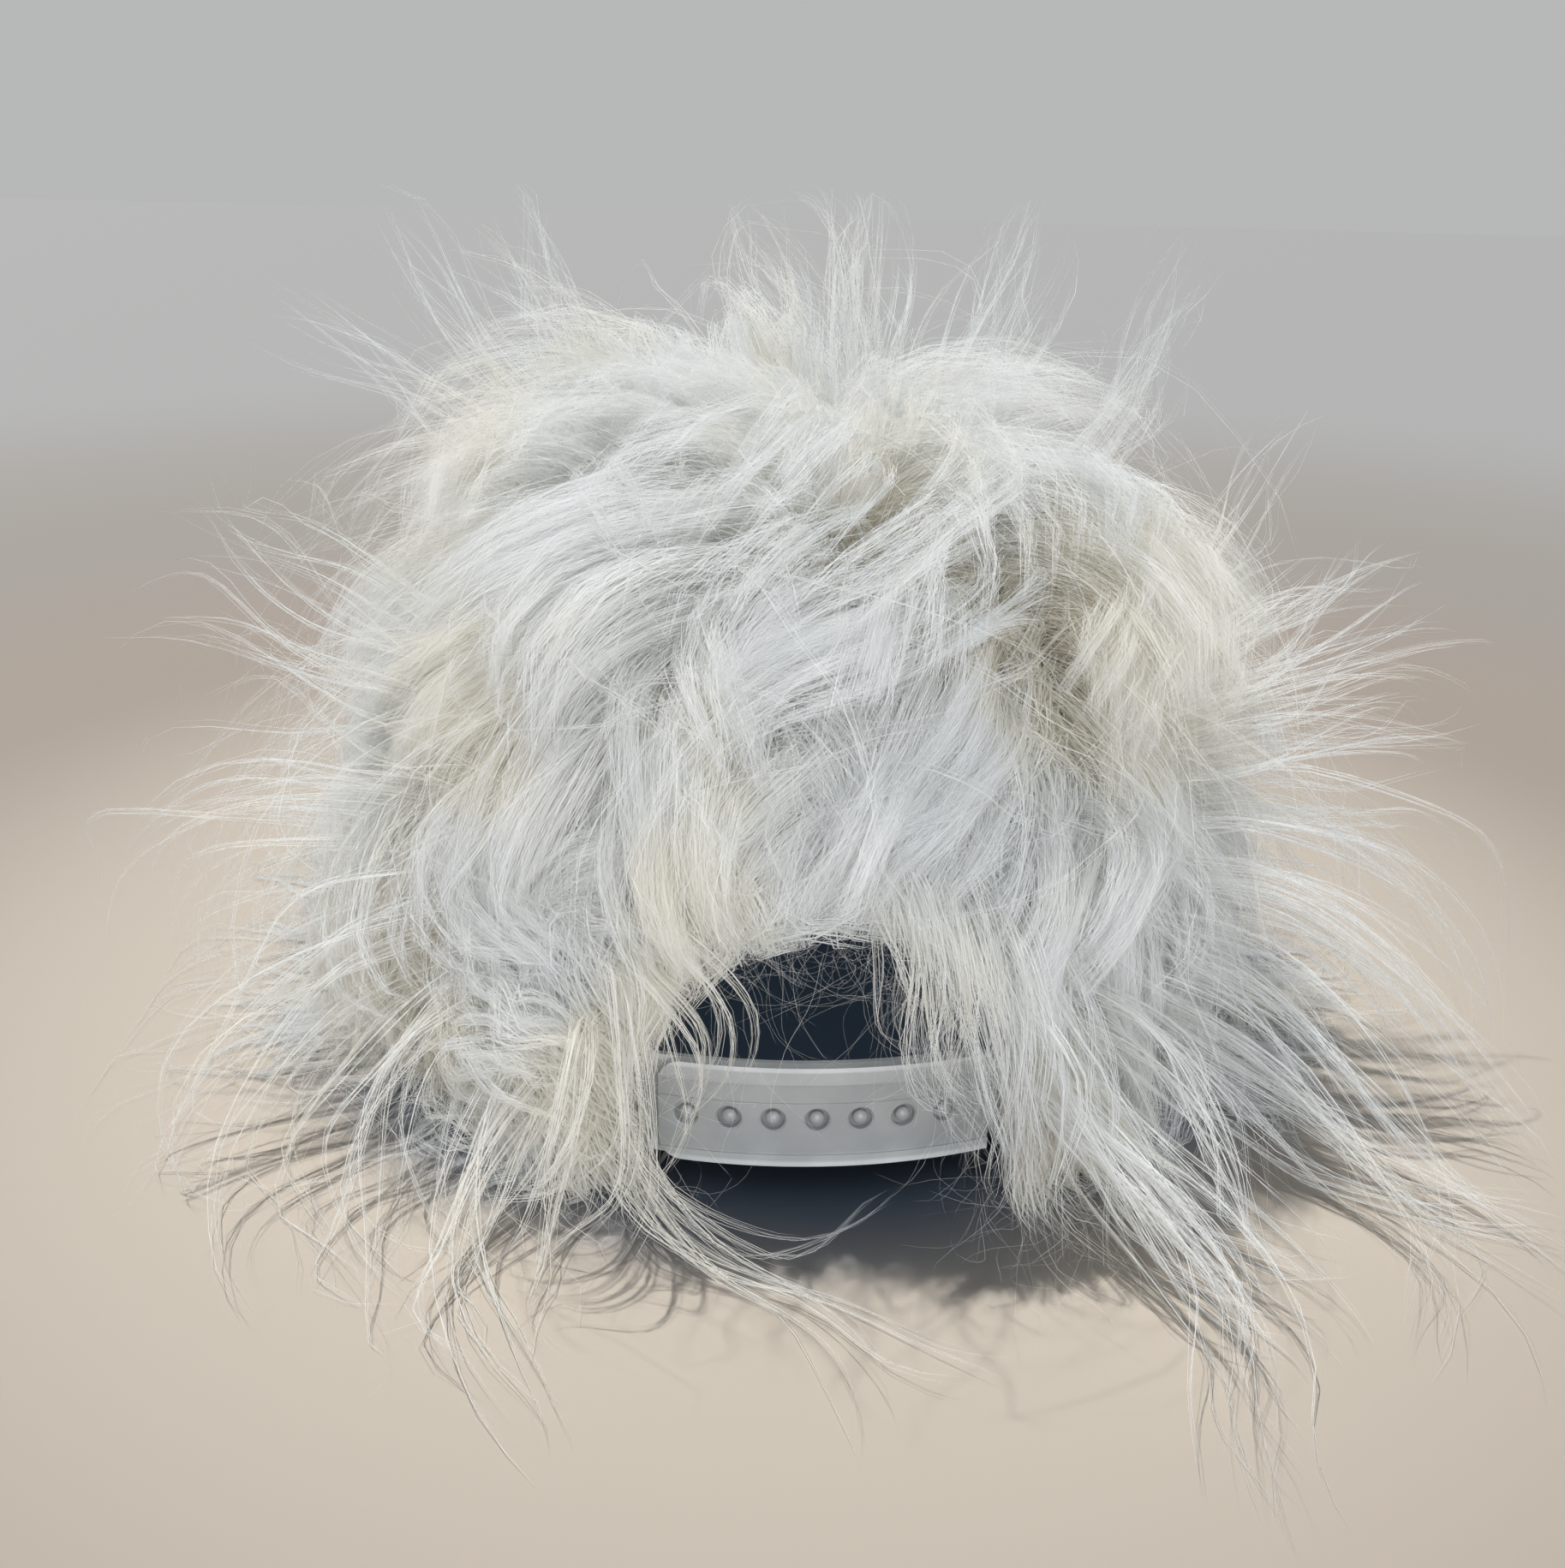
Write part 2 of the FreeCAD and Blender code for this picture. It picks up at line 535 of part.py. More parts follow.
os.makedirs(PARTS_FOLDER, exist_ok=True)
pile_outer = pile_dome()
fur_panels(pile_outer)
cloth_panels("lining_", LINING, False)
cloth_panels("buckram_", BUCKRAM, True)
seam_tapes()
arch_binding()
sweatband()
rim_bindings()
top_button()
brim()
hole_strap()
peg_strap()
strap_tabs()
trailing_lock(pile_outer)
print("strap bend axis y", round(strap_axis_y(), 3))
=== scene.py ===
"""Shaggy faux-fur snapback cap: the pile, cloths, strap plastic, stitching, light and camera."""

import math

import bpy
import numpy as np
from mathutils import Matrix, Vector


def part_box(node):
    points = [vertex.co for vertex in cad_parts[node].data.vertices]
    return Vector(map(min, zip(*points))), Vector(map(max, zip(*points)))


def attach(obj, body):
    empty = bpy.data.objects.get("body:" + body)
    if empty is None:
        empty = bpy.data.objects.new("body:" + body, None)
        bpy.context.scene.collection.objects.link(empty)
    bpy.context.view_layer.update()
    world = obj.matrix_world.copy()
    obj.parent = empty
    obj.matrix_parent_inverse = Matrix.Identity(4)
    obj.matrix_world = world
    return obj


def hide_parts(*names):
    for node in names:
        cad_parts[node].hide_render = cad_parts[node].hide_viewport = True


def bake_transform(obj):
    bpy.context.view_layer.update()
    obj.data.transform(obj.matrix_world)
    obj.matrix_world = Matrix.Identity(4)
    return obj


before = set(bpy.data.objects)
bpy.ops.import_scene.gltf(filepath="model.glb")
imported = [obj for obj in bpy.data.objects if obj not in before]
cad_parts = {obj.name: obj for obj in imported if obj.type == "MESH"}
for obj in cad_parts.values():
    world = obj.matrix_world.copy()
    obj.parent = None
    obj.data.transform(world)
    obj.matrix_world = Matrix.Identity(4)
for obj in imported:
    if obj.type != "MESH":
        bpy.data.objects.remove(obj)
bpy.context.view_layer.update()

MM = 0.001
TAU = 2.0 * math.pi

# ---- the cap's shape, as in the CAD model
CROWN = np.array((84.0, 105.0, 118.0)) * MM
SIDE_POWER = 2.3
TOP_POWER = 2.1
RIM_Z = 6.0 * MM
SHEET_TOP_Z = 117.0 * MM      # the crown's cloths end here, under the button
MEAN_RADIUS = 90.0 * MM       # of the wall, to turn azimuth into distance from a seam
SEAM_HOLD = 9.0 * MM          # how far from a seam the lining stays smooth
TAPE_FACE = -1.85 * MM        # inner side of the seam tapes and the arch's binding
BAND_INNER = -6.6 * MM
BAND_TOP_Z = 38.0 * MM
ARCH_SPRING_Z = 25.0 * MM
ARCH_HALF = 37.5 * MM
ARCH_CORNER_STEPS = np.array((-2e-4, 2e-4, 0.004, 0.012, 0.024, 0.042))  # radians: closer columns there
BRIM_TOP_Z = 19.2 * MM
BRIM_BOW = 302.0 * MM
BRIM_THICK = 3.4 * MM
BRIM_ROWS = 8                 # of topstitching
BRIM_OUTLINE = np.array(((81.0, 22.0), (88.5, 48.0), (92.5, 82.0), (89.0, 116.0), (74.0, 147.0),
                         (42.0, 168.0), (0.0, 175.0))) * MM
BRIM_START_Y = BRIM_OUTLINE[0][1]
BRIM_END_Y = BRIM_OUTLINE[-1][1]
STRAP_LEAN = math.radians(6.0)
STRAP_AXIS = (0.0, math.sin(STRAP_LEAN), math.cos(STRAP_LEAN))  # up the leaning straps
STRAP_HEIGHT = 21.0 * MM
STRAP_FOOT = -3.42 * MM       # the straps' lower edge, measured along that axis
PANELS = {"front_right": 60.0, "side_right": 0.0, "rear_right": -60.0,
          "rear_left": -120.0, "side_left": 180.0, "front_left": 120.0}
PANEL_HALF = math.pi / 6 - 0.0025  # radians, with a hair's gap at the seams

# ---- the pile's lie and limits
CREST = (12.0, 15.0, 118.0)   # mm: the pile falls away from here
SWIRL = (-62.0, -85.0, 30.0)
PARTING = (20.0, 0.0, 88.0)   # its y plays no part
BROAD_OUTWARD = np.array((1.0, 0.8, 0.9))  # turns a root's place into roughly its way out
FLOOR_CLEAR = 0.7 * MM
ARCH_FACE_Y = -96.0 * MM      # the funnel in front of the opening starts here
ARCH_FLARE_SIDE = 0.25        # how fast the pile parts with distance from the opening
ARCH_FLARE_UP = 0.62
STRAP_ROOM = 7.5 * MM         # more parting on the side where the outer strap swings out
REACH_SIDE = 141.0 * MM       # flyaway tips are eased in beyond these
REACH_TOP = 172.0 * MM
REACH_BACK = 181.0 * MM
REACH_EASE = 10.0 * MM
GUARD_LOCKS = 3900            # over the whole crown, at full density
GUARD_TUFTS = 320
WOOL_LOCKS = 9500
FLYAWAY_LOCKS = 1500
RIBBONS = {                   # width at the root, and the tip's share of it
    "upper": (0.165 * MM, 0.2), "lower": (0.165 * MM, 0.2), "wool": (0.40 * MM, 0.3),
    "flyaway": (0.11 * MM, 0.3), "locks": (0.16 * MM, 0.22), "curtain": (0.15 * MM, 0.25),
    "frizz": (0.04 * MM, 0.5)}
MOST_FACES = 198000           # in one mesh of hair ribbons
STRAND_TONES = 700.0          # number of different tones among the strands


# ---- small helpers
def unit(v):
    return v / np.maximum(np.linalg.norm(v, axis=-1, keepdims=True), 1e-9)


def smooth(edge0, edge1, x):
    t = np.clip((x - edge0) / (edge1 - edge0), 0.0, 1.0)
    return t * t * (3.0 - 2.0 * t)


def between(rng, low, high, high_share):
    """Random values whose range runs from the pair low to the pair high as high_share goes 0 to 1."""
    start = low[0] + (high[0] - low[0]) * high_share
    end = low[1] + (high[1] - low[1]) * high_share
    return start + (end - start) * rng.uniform(0, 1, len(high_share))


def crown_value(p):
    """1 on the crown, more outside; a vertical wall continues it below the table."""
    rim = np.sqrt((p[..., 0] / CROWN[0]) ** 2 + (p[..., 1] / CROWN[1]) ** 2)
    return rim ** SIDE_POWER + (np.maximum(p[..., 2], 0.0) / CROWN[2]) ** TOP_POWER


def crown_normal(p):
    rim2 = (p[..., 0] / CROWN[0]) ** 2 + (p[..., 1] / CROWN[1]) ** 2
    side = SIDE_POWER * np.maximum(rim2, 1e-8) ** (0.5 * SIDE_POWER - 1.0)
    up = TOP_POWER / CROWN[2] * (np.maximum(p[..., 2], 0.0) / CROWN[2]) ** (TOP_POWER - 1.0)
    return unit(np.stack((side * p[..., 0] / CROWN[0] ** 2, side * p[..., 1] / CROWN[1] ** 2, up), -1))


def onto_crown(p):
    """Slides points back onto the crown along the normal."""
    step = 1e-5
    for _ in range(3):
        n = crown_normal(p)
        value = crown_value(p)
        slope = (crown_value(p + n * step) - value) / step
        p = p - n * ((value - 1.0) / np.maximum(slope, 1e-3))[..., None]
    return p


def waves(p, scale, seed):
    """Smooth noise from a few seeded sine waves, about -1 to 1."""
    count = 5
    rng = np.random.default_rng(seed)
    total = np.zeros(p.shape[:-1])
    for _ in range(count):
        k = unit(rng.normal(size=3)) * TAU / (scale * rng.uniform(0.6, 1.6))
        total += np.sin(p @ k + rng.uniform(0, TAU))
    return total / math.sqrt(count)


def run_along(points):
    """Distance along a line at each of its points."""
    return np.concatenate(([0.0], np.cumsum(np.linalg.norm(np.diff(points, axis=0), axis=1))))


def sample(places, run, values):
    """Rows of values at places along a line, from the rows known at the distances run."""
    return np.stack([np.interp(places, run, values[:, i]) for i in range(values.shape[1])], -1)


def along_spline(points, steps):
    """Even samples of a Catmull-Rom curve through given points."""
    p = np.array(points, float)
    ends = np.concatenate((2 * p[:1] - p[1:2], p, 2 * p[-1:] - p[-2:-1]))
    place = np.linspace(0, len(p) - 1, 12 * len(p))
    k = np.minimum(place.astype(int), len(p) - 2)
    t = (place - k)[:, None]
    a, b, c, d = ends[k], ends[k + 1], ends[k + 2], ends[k + 3]
    curve = 0.5 * (2 * b + (c - a) * t + (2 * a - 5 * b + 4 * c - d) * t ** 2
                   + (3 * b - a - 3 * c + d) * t ** 3)
    run = run_along(curve)
    return sample(np.linspace(0, run[-1], steps), run, curve)


def add_object(name, data):
    made = bpy.data.objects.new(name, data)
    bpy.context.scene.collection.objects.link(made)
    return made


def mesh_piece(name, verts, faces, material, body="crown"):
    mesh = bpy.data.meshes.new(name)
    mesh.from_pydata([tuple(v) for v in verts], [], faces)
    mesh.validate()
    mesh.polygons.foreach_set("use_smooth", np.ones(len(mesh.polygons), bool))
    mesh.materials.append(material)
    piece = add_object(name, mesh)
    if body:
        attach(piece, body)
    return piece


# ---- materials
class Nodes:
    """Adds nodes to a node tree; add, ramp and mix return the new node's output socket."""

    def __init__(self, tree):
        self.tree = tree

    def feed(self, socket, value):
        """Links another node's output, or sets a plain value."""
        if hasattr(value, "is_output"):
            self.tree.links.new(value, socket)
        else:
            socket.default_value = value

    def add(self, kind, output, inputs, **settings):
        node = self.tree.nodes.new("ShaderNode" + kind)
        for name, value in settings.items():
            setattr(node, name, value)
        for name, value in inputs.items():
            self.feed(node.inputs[name], value)
        return node.outputs[output]

    def ramp(self, value, stops, interpolation="EASE"):
        node = self.tree.nodes.new("ShaderNodeValToRGB")
        node.color_ramp.interpolation = interpolation
        while len(node.color_ramp.elements) < len(stops):
            node.color_ramp.elements.new(0.5)
        for element, (place, colour) in zip(node.color_ramp.elements, stops):
            element.position = place
            element.color = (*colour, 1.0)
        self.feed(node.inputs[0], value)
        return node.outputs[0]

    def mix(self, kind, share, a, b):
        return self.add("Mix", 2, {0: share, 6: a, 7: b}, data_type="RGBA", blend_type=kind)


class Look(Nodes):
    """A material and its Principled shader."""

    def __init__(self, name):
        self.material = bpy.data.materials.new(name)
        self.material.use_nodes = True
        super().__init__(self.material.node_tree)
        self.shader = self.tree.nodes["Principled BSDF"]
        self.place = self.add("TexCoord", "Object", {})

    def shade(self, inputs):
        for name, value in inputs.items():
            self.feed(self.shader.inputs[name], value)

    def bump(self, height, strength, depth):
        relief = self.add("Bump", 0, {"Height": height, "Strength": strength, "Distance": depth})
        self.shade({"Normal": relief})

    def noise(self, size, detail=3.0, roughness=0.55):
        """Noise whose blotches are about size metres across."""
        return self.add("TexNoise", 0, {"Vector": self.place, "Scale": 1.0 / size, "Detail": detail,
                                        "Roughness": roughness})

    def bands(self, pitch, turn, distortion=0.6):
        """Ridges pitch metres apart, turned about Z and X."""
        turned = self.add("Mapping", 0, {"Vector": self.place, "Rotation": turn})
        return self.add("TexWave", "Fac", {"Vector": turned, "Scale": TAU / 20.0 / pitch,
                                           "Distortion": distortion, "Detail": 1.0, "Detail Scale": 1.5})


def grey(value):
    return (value, value, value)


def pile_material(name, root, middle, tip):
    """Hair whose colour runs from root to tip, with each strand a little different."""
    look = Look(name)
    uv = look.add("UVMap", 0, {}, uv_map="OFBake")
    across = look.add("SeparateXYZ", "X", {0: uv})
    along = look.add("SeparateXYZ", "Y", {0: uv})
    length_tone = look.ramp(along, ((0.0, root), (0.45, middle), (1.0, tip)))
    stretched = look.add("Math", 0, {0: across, 1: STRAND_TONES}, operation="MULTIPLY")
    strand = look.add("Math", 0, {0: stretched}, operation="FLOOR")
    luck = look.add("TexWhiteNoise", "Value", {"W": strand}, noise_dimensions="1D")
    tint = look.ramp(luck, ((0.0, (0.90, 0.89, 0.87)), (0.5, grey(0.98)), (1.0, grey(1.0))), "LINEAR")
    colour = look.mix("MULTIPLY", 1.0, length_tone, tint)
    wash = look.ramp(look.noise(62 * MM, 2.0), ((0.40, (1.0, 0.975, 0.915)), (0.55, (0.98, 0.99, 1.0))))
    colour = look.mix("MULTIPLY", 0.75, colour, wash)
    look.shade({"Base Color": colour, "Roughness": 0.5, "Specular IOR Level": 0.3})
    through = look.add("BsdfTranslucent", 0, {"Color": colour})
    both = look.add("MixShader", 0, {0: 0.5, 1: look.shader.outputs[0], 2: through})
    look.feed(look.tree.nodes["Material Output"].inputs["Surface"], both)
    return look.material


def cloth_material(name, dark, light, pitch, depth, fuzz=0.25):
    """Twill or knit: two crossed sets of ridges, lint and worn patches."""
    look = Look(name)
    rib = look.bands(pitch, (0.0, 0.9, 0.78))
    cross = look.bands(0.62 * pitch, (0.7, 0.2, -0.85))
    weave = look.mix("MULTIPLY", 0.7, rib, cross)
    lint = look.noise(2.2 * MM, 4.0)
    tone = look.ramp(look.mix("MIX", 0.35, weave, lint), ((0.0, dark), (1.0, light)), "LINEAR")
    shade = look.ramp(look.noise(26 * MM), ((0.35, (0.80, 0.80, 0.82)), (0.7, grey(1.0))))
    look.shade({"Base Color": look.mix("MULTIPLY", 0.8, tone, shade), "Roughness": 0.85,
                "Specular IOR Level": 0.2, "Sheen Weight": fuzz, "Sheen Tint": (*light, 1.0)})
    look.bump(weave, 0.7, depth)
    return look.material


def strap_material():
    """Milky soft plastic, slightly clouded and scuffed, lighter along its rails, partly for their greater
    thickness and partly as painted highlight, with painted highlight lines at its top and bottom edges.
    """
    look = Look("strap_milky_plastic")
    tone = look.ramp(look.noise(9 * MM), ((0.3, (0.82, 0.84, 0.845)), (0.7, (0.93, 0.95, 0.95))))
    up_strap = look.add("VectorMath", "Value", {0: look.place, 1: STRAP_AXIS}, operation="DOT_PRODUCT")
    height = look.add("MapRange", "Result", {"Value": up_strap, "From Min": STRAP_FOOT,
                                             "From Max": STRAP_FOOT + STRAP_HEIGHT})
    # the rails are lighter partly for the milky plastic's thickness there and partly as painted highlight;
    # the edge bands at the strap's top and bottom are painted highlight lines
    web, rail_thickness_and_highlight, edge = 0.56, 0.68, 0.98
    thickness_and_highlight = look.ramp(height, [(place, grey(value)) for place, value in (
        (0.0, edge), (0.035, edge), (0.065, rail_thickness_and_highlight), (0.11, rail_thickness_and_highlight), (0.13, web),
        (0.815, web), (0.835, rail_thickness_and_highlight), (0.945, rail_thickness_and_highlight), (0.965, edge), (1.0, edge))], "LINEAR")
    scuff = look.ramp(look.noise(5 * MM), ((0.35, grey(0.14)), (0.65, grey(0.24))))
    look.shade({"Base Color": look.mix("MULTIPLY", 1.0, tone, thickness_and_highlight), "Roughness": scuff,
                "Transmission Weight": 0.35, "IOR": 1.48, "Specular IOR Level": 0.85})
    look.bump(look.noise(4 * MM, 2.0), 0.05, 0.15 * MM)
    return look.material


def thread_material(name, dark, light):
    look = Look(name)
    twist = look.bands(0.35 * MM, (0.5, 0.6, 0.9), 0.2)
    look.shade({"Base Color": look.ramp(twist, ((0.0, dark), (1.0, light)), "LINEAR"), "Roughness": 0.5,
                "Sheen Weight": 0.2})
    look.bump(twist, 0.6, 0.1 * MM)
    return look.material


def steel_material():
    look = Look("rivet_plated_steel")
    tone = look.ramp(look.noise(3 * MM, 4.0), ((0.3, (0.46, 0.45, 0.43)), (0.7, (0.66, 0.65, 0.63))))
    rough = look.ramp(look.noise(0.8 * MM, 5.0), ((0.3, grey(0.24)), (0.7, grey(0.45))))
    look.shade({"Base Color": tone, "Roughness": rough, "Metallic": 1.0})
    look.bump(look.noise(0.6 * MM), 0.15, 0.05 * MM)
    return look.material


def board_material():
    look = Look("brim_pressed_board")
    fleck = look.noise(1.8 * MM, 6.0, 0.7)
    tone = look.ramp(fleck, ((0.3, (0.62, 0.60, 0.56)), (0.7, (0.78, 0.76, 0.72))))
    look.shade({"Base Color": tone, "Roughness": 0.6})
    look.bump(fleck, 0.3, 0.1 * MM)
    return look.material


PILE = pile_material("pile_white", (0.95, 0.94, 0.912), (0.972, 0.970, 0.956), (0.98, 0.985, 0.985))
# name of the material: darkest and lightest tone, pitch of the weave in mm, its depth in mm, fuzz
CLOTHS = {
    "backing_knit": ((0.72, 0.70, 0.65), (0.92, 0.91, 0.87), 1.1, 0.2, 0.25),
    "lining_navy_twill": ((0.020, 0.038, 0.075), (0.062, 0.100, 0.170), 0.9, 0.15, 0.25),
    "tape_navy_ribbed": ((0.020, 0.038, 0.078), (0.062, 0.102, 0.175), 0.7, 0.2, 0.25),
    "sweatband_navy_jersey": ((0.020, 0.038, 0.075), (0.064, 0.102, 0.170), 0.55, 0.12, 0.4),
    "brim_navy_twill": ((0.007, 0.012, 0.028), (0.032, 0.048, 0.092), 1.0, 0.2, 0.25),
    "buckram_stiff_mesh": ((0.45, 0.44, 0.41), (0.88, 0.87, 0.83), 1.4, 0.3, 0.1),
    "button_white_fleece": ((0.70, 0.69, 0.66), (0.93, 0.92, 0.90), 0.8, 0.2, 0.5),
}
KNIT, LINING, TAPE, BAND, BRIM_CLOTH, BUCKRAM, BUTTON = (
    cloth_material(name, dark, light, pitch * MM, depth * MM, fuzz)
    for name, (dark, light, pitch, depth, fuzz) in CLOTHS.items())
THREAD = thread_material("thread_navy", (0.012, 0.020, 0.045), (0.070, 0.095, 0.160))
STRAP = strap_material()
STEEL = steel_material()
BOARD = board_material()


def dress_cad_nodes():
    """Gives each CAD node that stays its own material."""
    looks = (("lining_", LINING), ("buckram_", BUCKRAM), ("seam_tape_", TAPE), ("arch_binding", TAPE),
             ("rim_binding_", TAPE), ("sweatband", BAND), ("button_cap", BUTTON), ("button_", STEEL),
             ("brim_board", BOARD), ("brim_", BRIM_CLOTH), ("hole_strap_tacks", THREAD),
             ("peg_strap_tacks", THREAD), ("hole_strap", STRAP), ("peg_strap", STRAP), ("fur_", PILE))
    for name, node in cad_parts.items():
        material = next(look for start, look in looks if name.startswith(start))
        node.data.materials.clear()
        node.data.materials.append(material)


# ---- cloth sheets
def radius_share(z, offset):
    """The crown's radius at height z as a share of the radius at the table."""
    up = np.clip(z / (CROWN[2] + offset), 0.0, 1.0)
    return (1.0 - up ** TOP_POWER) ** (1.0 / SIDE_POWER)


def wall_point(around, z, offset):
    """Point of the crown's surface moved out by offset, at an azimuth in radians and a height."""
    a = CROWN[0] + offset
    b = CROWN[1] + offset
    reach = radius_share(z, offset) / np.sqrt((np.cos(around) / a) ** 2 + (np.sin(around) / b) ** 2)
    return np.stack(np.broadcast_arrays(reach * np.cos(around), reach * np.sin(around), z), -1)


def lower_edge(around, offset, margin):
    """Height of the cloth's lower edge: the rim, the seam over the brim, or the rear arch."""
    z = np.full(around.shape, RIM_Z)
    p = wall_point(around, z, offset)
    bow = BRIM_BOW - BRIM_THICK
    seam = BRIM_TOP_Z - BRIM_BOW + np.sqrt(bow ** 2 - p[:, 0] ** 2)
    z = np.where(p[:, 1] > BRIM_START_Y, np.maximum(seam, RIM_Z), z)
    half = ARCH_HALF + margin
    top = z.copy()
    for _ in range(8):            # x depends on the height that is sought, so it closes in on it
        x = wall_point(around, top, offset)[:, 0]
        arch = ARCH_SPRING_Z + np.sqrt(np.maximum(half ** 2 - x ** 2, 0.0))
        top = np.where((np.abs(x) < half) & (p[:, 1] < 0), arch, z)
    return top


def arch_azimuth(offset, margin):
    """Azimuth, from the rear, at which the wall meets the straight side of the arch."""
    share = radius_share(0.5 * ARCH_SPRING_Z, offset)
    x = ARCH_HALF + margin
    y = (CROWN[1] + offset) * math.sqrt(share ** 2 - (x / (CROWN[0] + offset)) ** 2)
    return math.atan2(x, y)


def slab_faces(rows, cols):
    """Faces of a closed thin slab whose two skins are grids of rows by cols points."""
    n = rows * cols
    faces = []
    for r in range(rows - 1):
        for c in range(cols - 1):
            k = r * cols + c
            faces.append((k, k + 1, k + cols + 1, k + cols))
            faces.append((n + k, n + k + cols, n + k + cols + 1, n + k + 1))
    edge = [(0, c) for c in range(cols)] + [(r, cols - 1) for r in range(1, rows)]
    edge += [(rows - 1, c) for c in range(cols - 2, -1, -1)] + [(r, 0) for r in range(rows - 2, 0, -1)]
    ids = [r * cols + c for r, c in edge]
    for k, after in zip(ids, ids[1:] + ids[:1]):
        faces.append((k, n + k, n + after, after))
    return faces


def slab(name, skin, back, material, slot, body="crown"):
    """A closed thin slab between two grids of points."""
    verts = np.concatenate((skin.reshape(-1, 3), back.reshape(-1, 3)))
    return mesh_piece(name, verts, slab_faces(*skin.shape[:2]), material, body)


def run_length(points):
    return float(run_along(points)[-1])


def heights(low, high, rows):
    """Rows of heights between two edges, closer together towards the top of the dome."""
    turn_low = np.arcsin((low / CROWN[2]) ** (0.5 * TOP_POWER))
    turn_high = np.arcsin((high / CROWN[2]) ** (0.5 * TOP_POWER))
    share = np.linspace(0, 1, rows)[:, None]
    return CROWN[2] * np.sin(turn_low + (turn_high - turn_low) * share) ** (2.0 / TOP_POWER)


def crown_sheet(name, panel, outer, inner, pucker, material, slot, stands_for):
    """One cloth panel of the crown as a closed thin slab, with soft puckers on its inner side."""
    mid = math.radians(PANELS[panel])
    columns = mid + np.linspace(-PANEL_HALF, PANEL_HALF, 25)
    if panel.startswith("rear"):
        side = 1.0 if panel.endswith("right") else -1.0
        corner = -0.5 * math.pi + side * arch_azimuth(outer, 0.0)
        columns = np.sort(np.concatenate((columns, corner - side * ARCH_CORNER_STEPS)))
    low = lower_edge(columns, outer, 0.0)
    z = heights(low, SHEET_TOP_Z, 26)
    skin = wall_point(columns[None, :], z, outer)
    n = crown_normal(skin)
    seam_gap = (PANEL_HALF - np.abs(columns - mid)) * MEAN_RADIUS
    loose = 1.0 - np.exp(-(seam_gap / SEAM_HOLD) ** 2)
    puckers = 0.5 + 0.5 * waves(skin, 24 * MM, 61 + list(PANELS).index(panel)) ** 2
    relief = pucker * loose[None, :] * puckers
    back = skin - n * ((outer - inner) + relief)[..., None]
    skin = skin - n * relief[..., None]
    piece = slab(name, skin, back, material, slot)
    width = run_length(wall_point(columns, RIM_Z, outer))
    length = run_length(wall_point(mid, heights(RIM_Z, SHEET_TOP_Z, 40)[:, 0], outer))
    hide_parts(stands_for)


def sweatband_sheet():
    """Turned cloth band inside the rim, a little fuller between its two stitch rows."""
    outer, inner = -5.2 * MM, BAND_INNER
    edge = arch_azimuth(outer, 0.8 * MM)
    columns = np.linspace(-0.5 * math.pi + edge, 1.5 * math.pi - edge, 121)
    low = lower_edge(columns, outer, 0.5 * MM) + 0.2 * MM
    share = np.linspace(0, 1, 12)[:, None]
    z = low + (BAND_TOP_Z - low) * share
    skin = wall_point(columns[None, :], z, outer)
    full = np.sin(math.pi * share) * (0.55 + 0.25 * waves(skin, 18 * MM, 71)) * MM
    n = crown_normal(skin)
    back = skin - n * ((outer - inner) + np.maximum(full, 0.0))[..., None]
    piece = slab("cloth_sweatband", skin, back, BAND, "sweatband_cloth")
    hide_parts("sweatband")
    return columns


# ---- stitching
def stitch_mesh(name, lines, pitch, length, radius):
    """Rows of short bowed stitches; each line is a run of points with the surface's normals."""
    sides = 6
    ring_at = np.array((-0.5, -0.36, 0.0, 0.36, 0.5))
    ring_size = np.array((0.2, 0.8, 1.0, 0.8, 0.2))
    turn = np.linspace(0, TAU, sides, endpoint=False)
    verts, faces = [], []
    for points, normals in lines:
        run = run_along(points)
        places = np.arange(0.5 * pitch, run[-1] - 0.4 * pitch, pitch)
        at = sample(places, run, points)
        n = unit(sample(places, run, normals))
        t = unit(sample(places + 0.2 * pitch, run, points) - at)
        b = np.cross(t, n)
        for centre, along, out, side in zip(at, t, n, b):
            base = len(verts)
            for s, size in zip(ring_at, ring_size):
                bow = 0.7 - 2.2 * s * s
                middle = centre + along * (s * length) + out * radius * bow
                for a in turn:
                    verts.append(middle + (side * math.cos(a) + out * math.sin(a)) * radius * size)
            for r in range(len(ring_at) - 1):
                for k in range(sides):
                    q = base + r * sides + k
                    w = base + r * sides + (k + 1) % sides
                    faces.append((q, w, w + sides, q + sides))
            faces.append(tuple(base + k for k in reversed(range(sides))))
            faces.append(tuple(base + (len(ring_at) - 1) * sides + k for k in range(sides)))
    mesh_piece(name, verts, faces, THREAD)


def facing_in(points):
    return points, -crown_normal(points)


def brim_rows(under):
    """Rows of topstitching that follow the brim's edge, on its top or its under cover."""
    lines = []
    radius = BRIM_BOW - (BRIM_THICK if under else 0.0)
    half_width = BRIM_OUTLINE[2][0]
    for row in range(BRIM_ROWS):
        inset = (7.0 + 7.5 * row) * MM
        scale = np.array(((half_width - inset) / half_width, 1.0 - inset / (BRIM_END_Y - BRIM_START_Y)))
        right = (BRIM_OUTLINE - (0.0, BRIM_START_Y)) * scale + (0.0, BRIM_START_Y)
        left = (right * (-1.0, 1.0))[-2::-1]
        flat = along_spline(np.concatenate((right, left)), 240)
        gap = np.hypot(flat[:, 0] / (CROWN[0] + 4 * MM), flat[:, 1] / (CROWN[1] + 4 * MM))
        z = BRIM_TOP_Z - BRIM_BOW + np.sqrt(radius ** 2 - flat[:, 0] ** 2)
        points = np.concatenate((flat, z[:, None]), 1)
        n = unit(np.stack((flat[:, 0], 0 * z, z - BRIM_TOP_Z + BRIM_BOW), -1))
        keep = gap > 1.0
        if keep.sum() > 4:
            lines.append((points[keep], -n[keep] if under else n[keep]))
    return lines


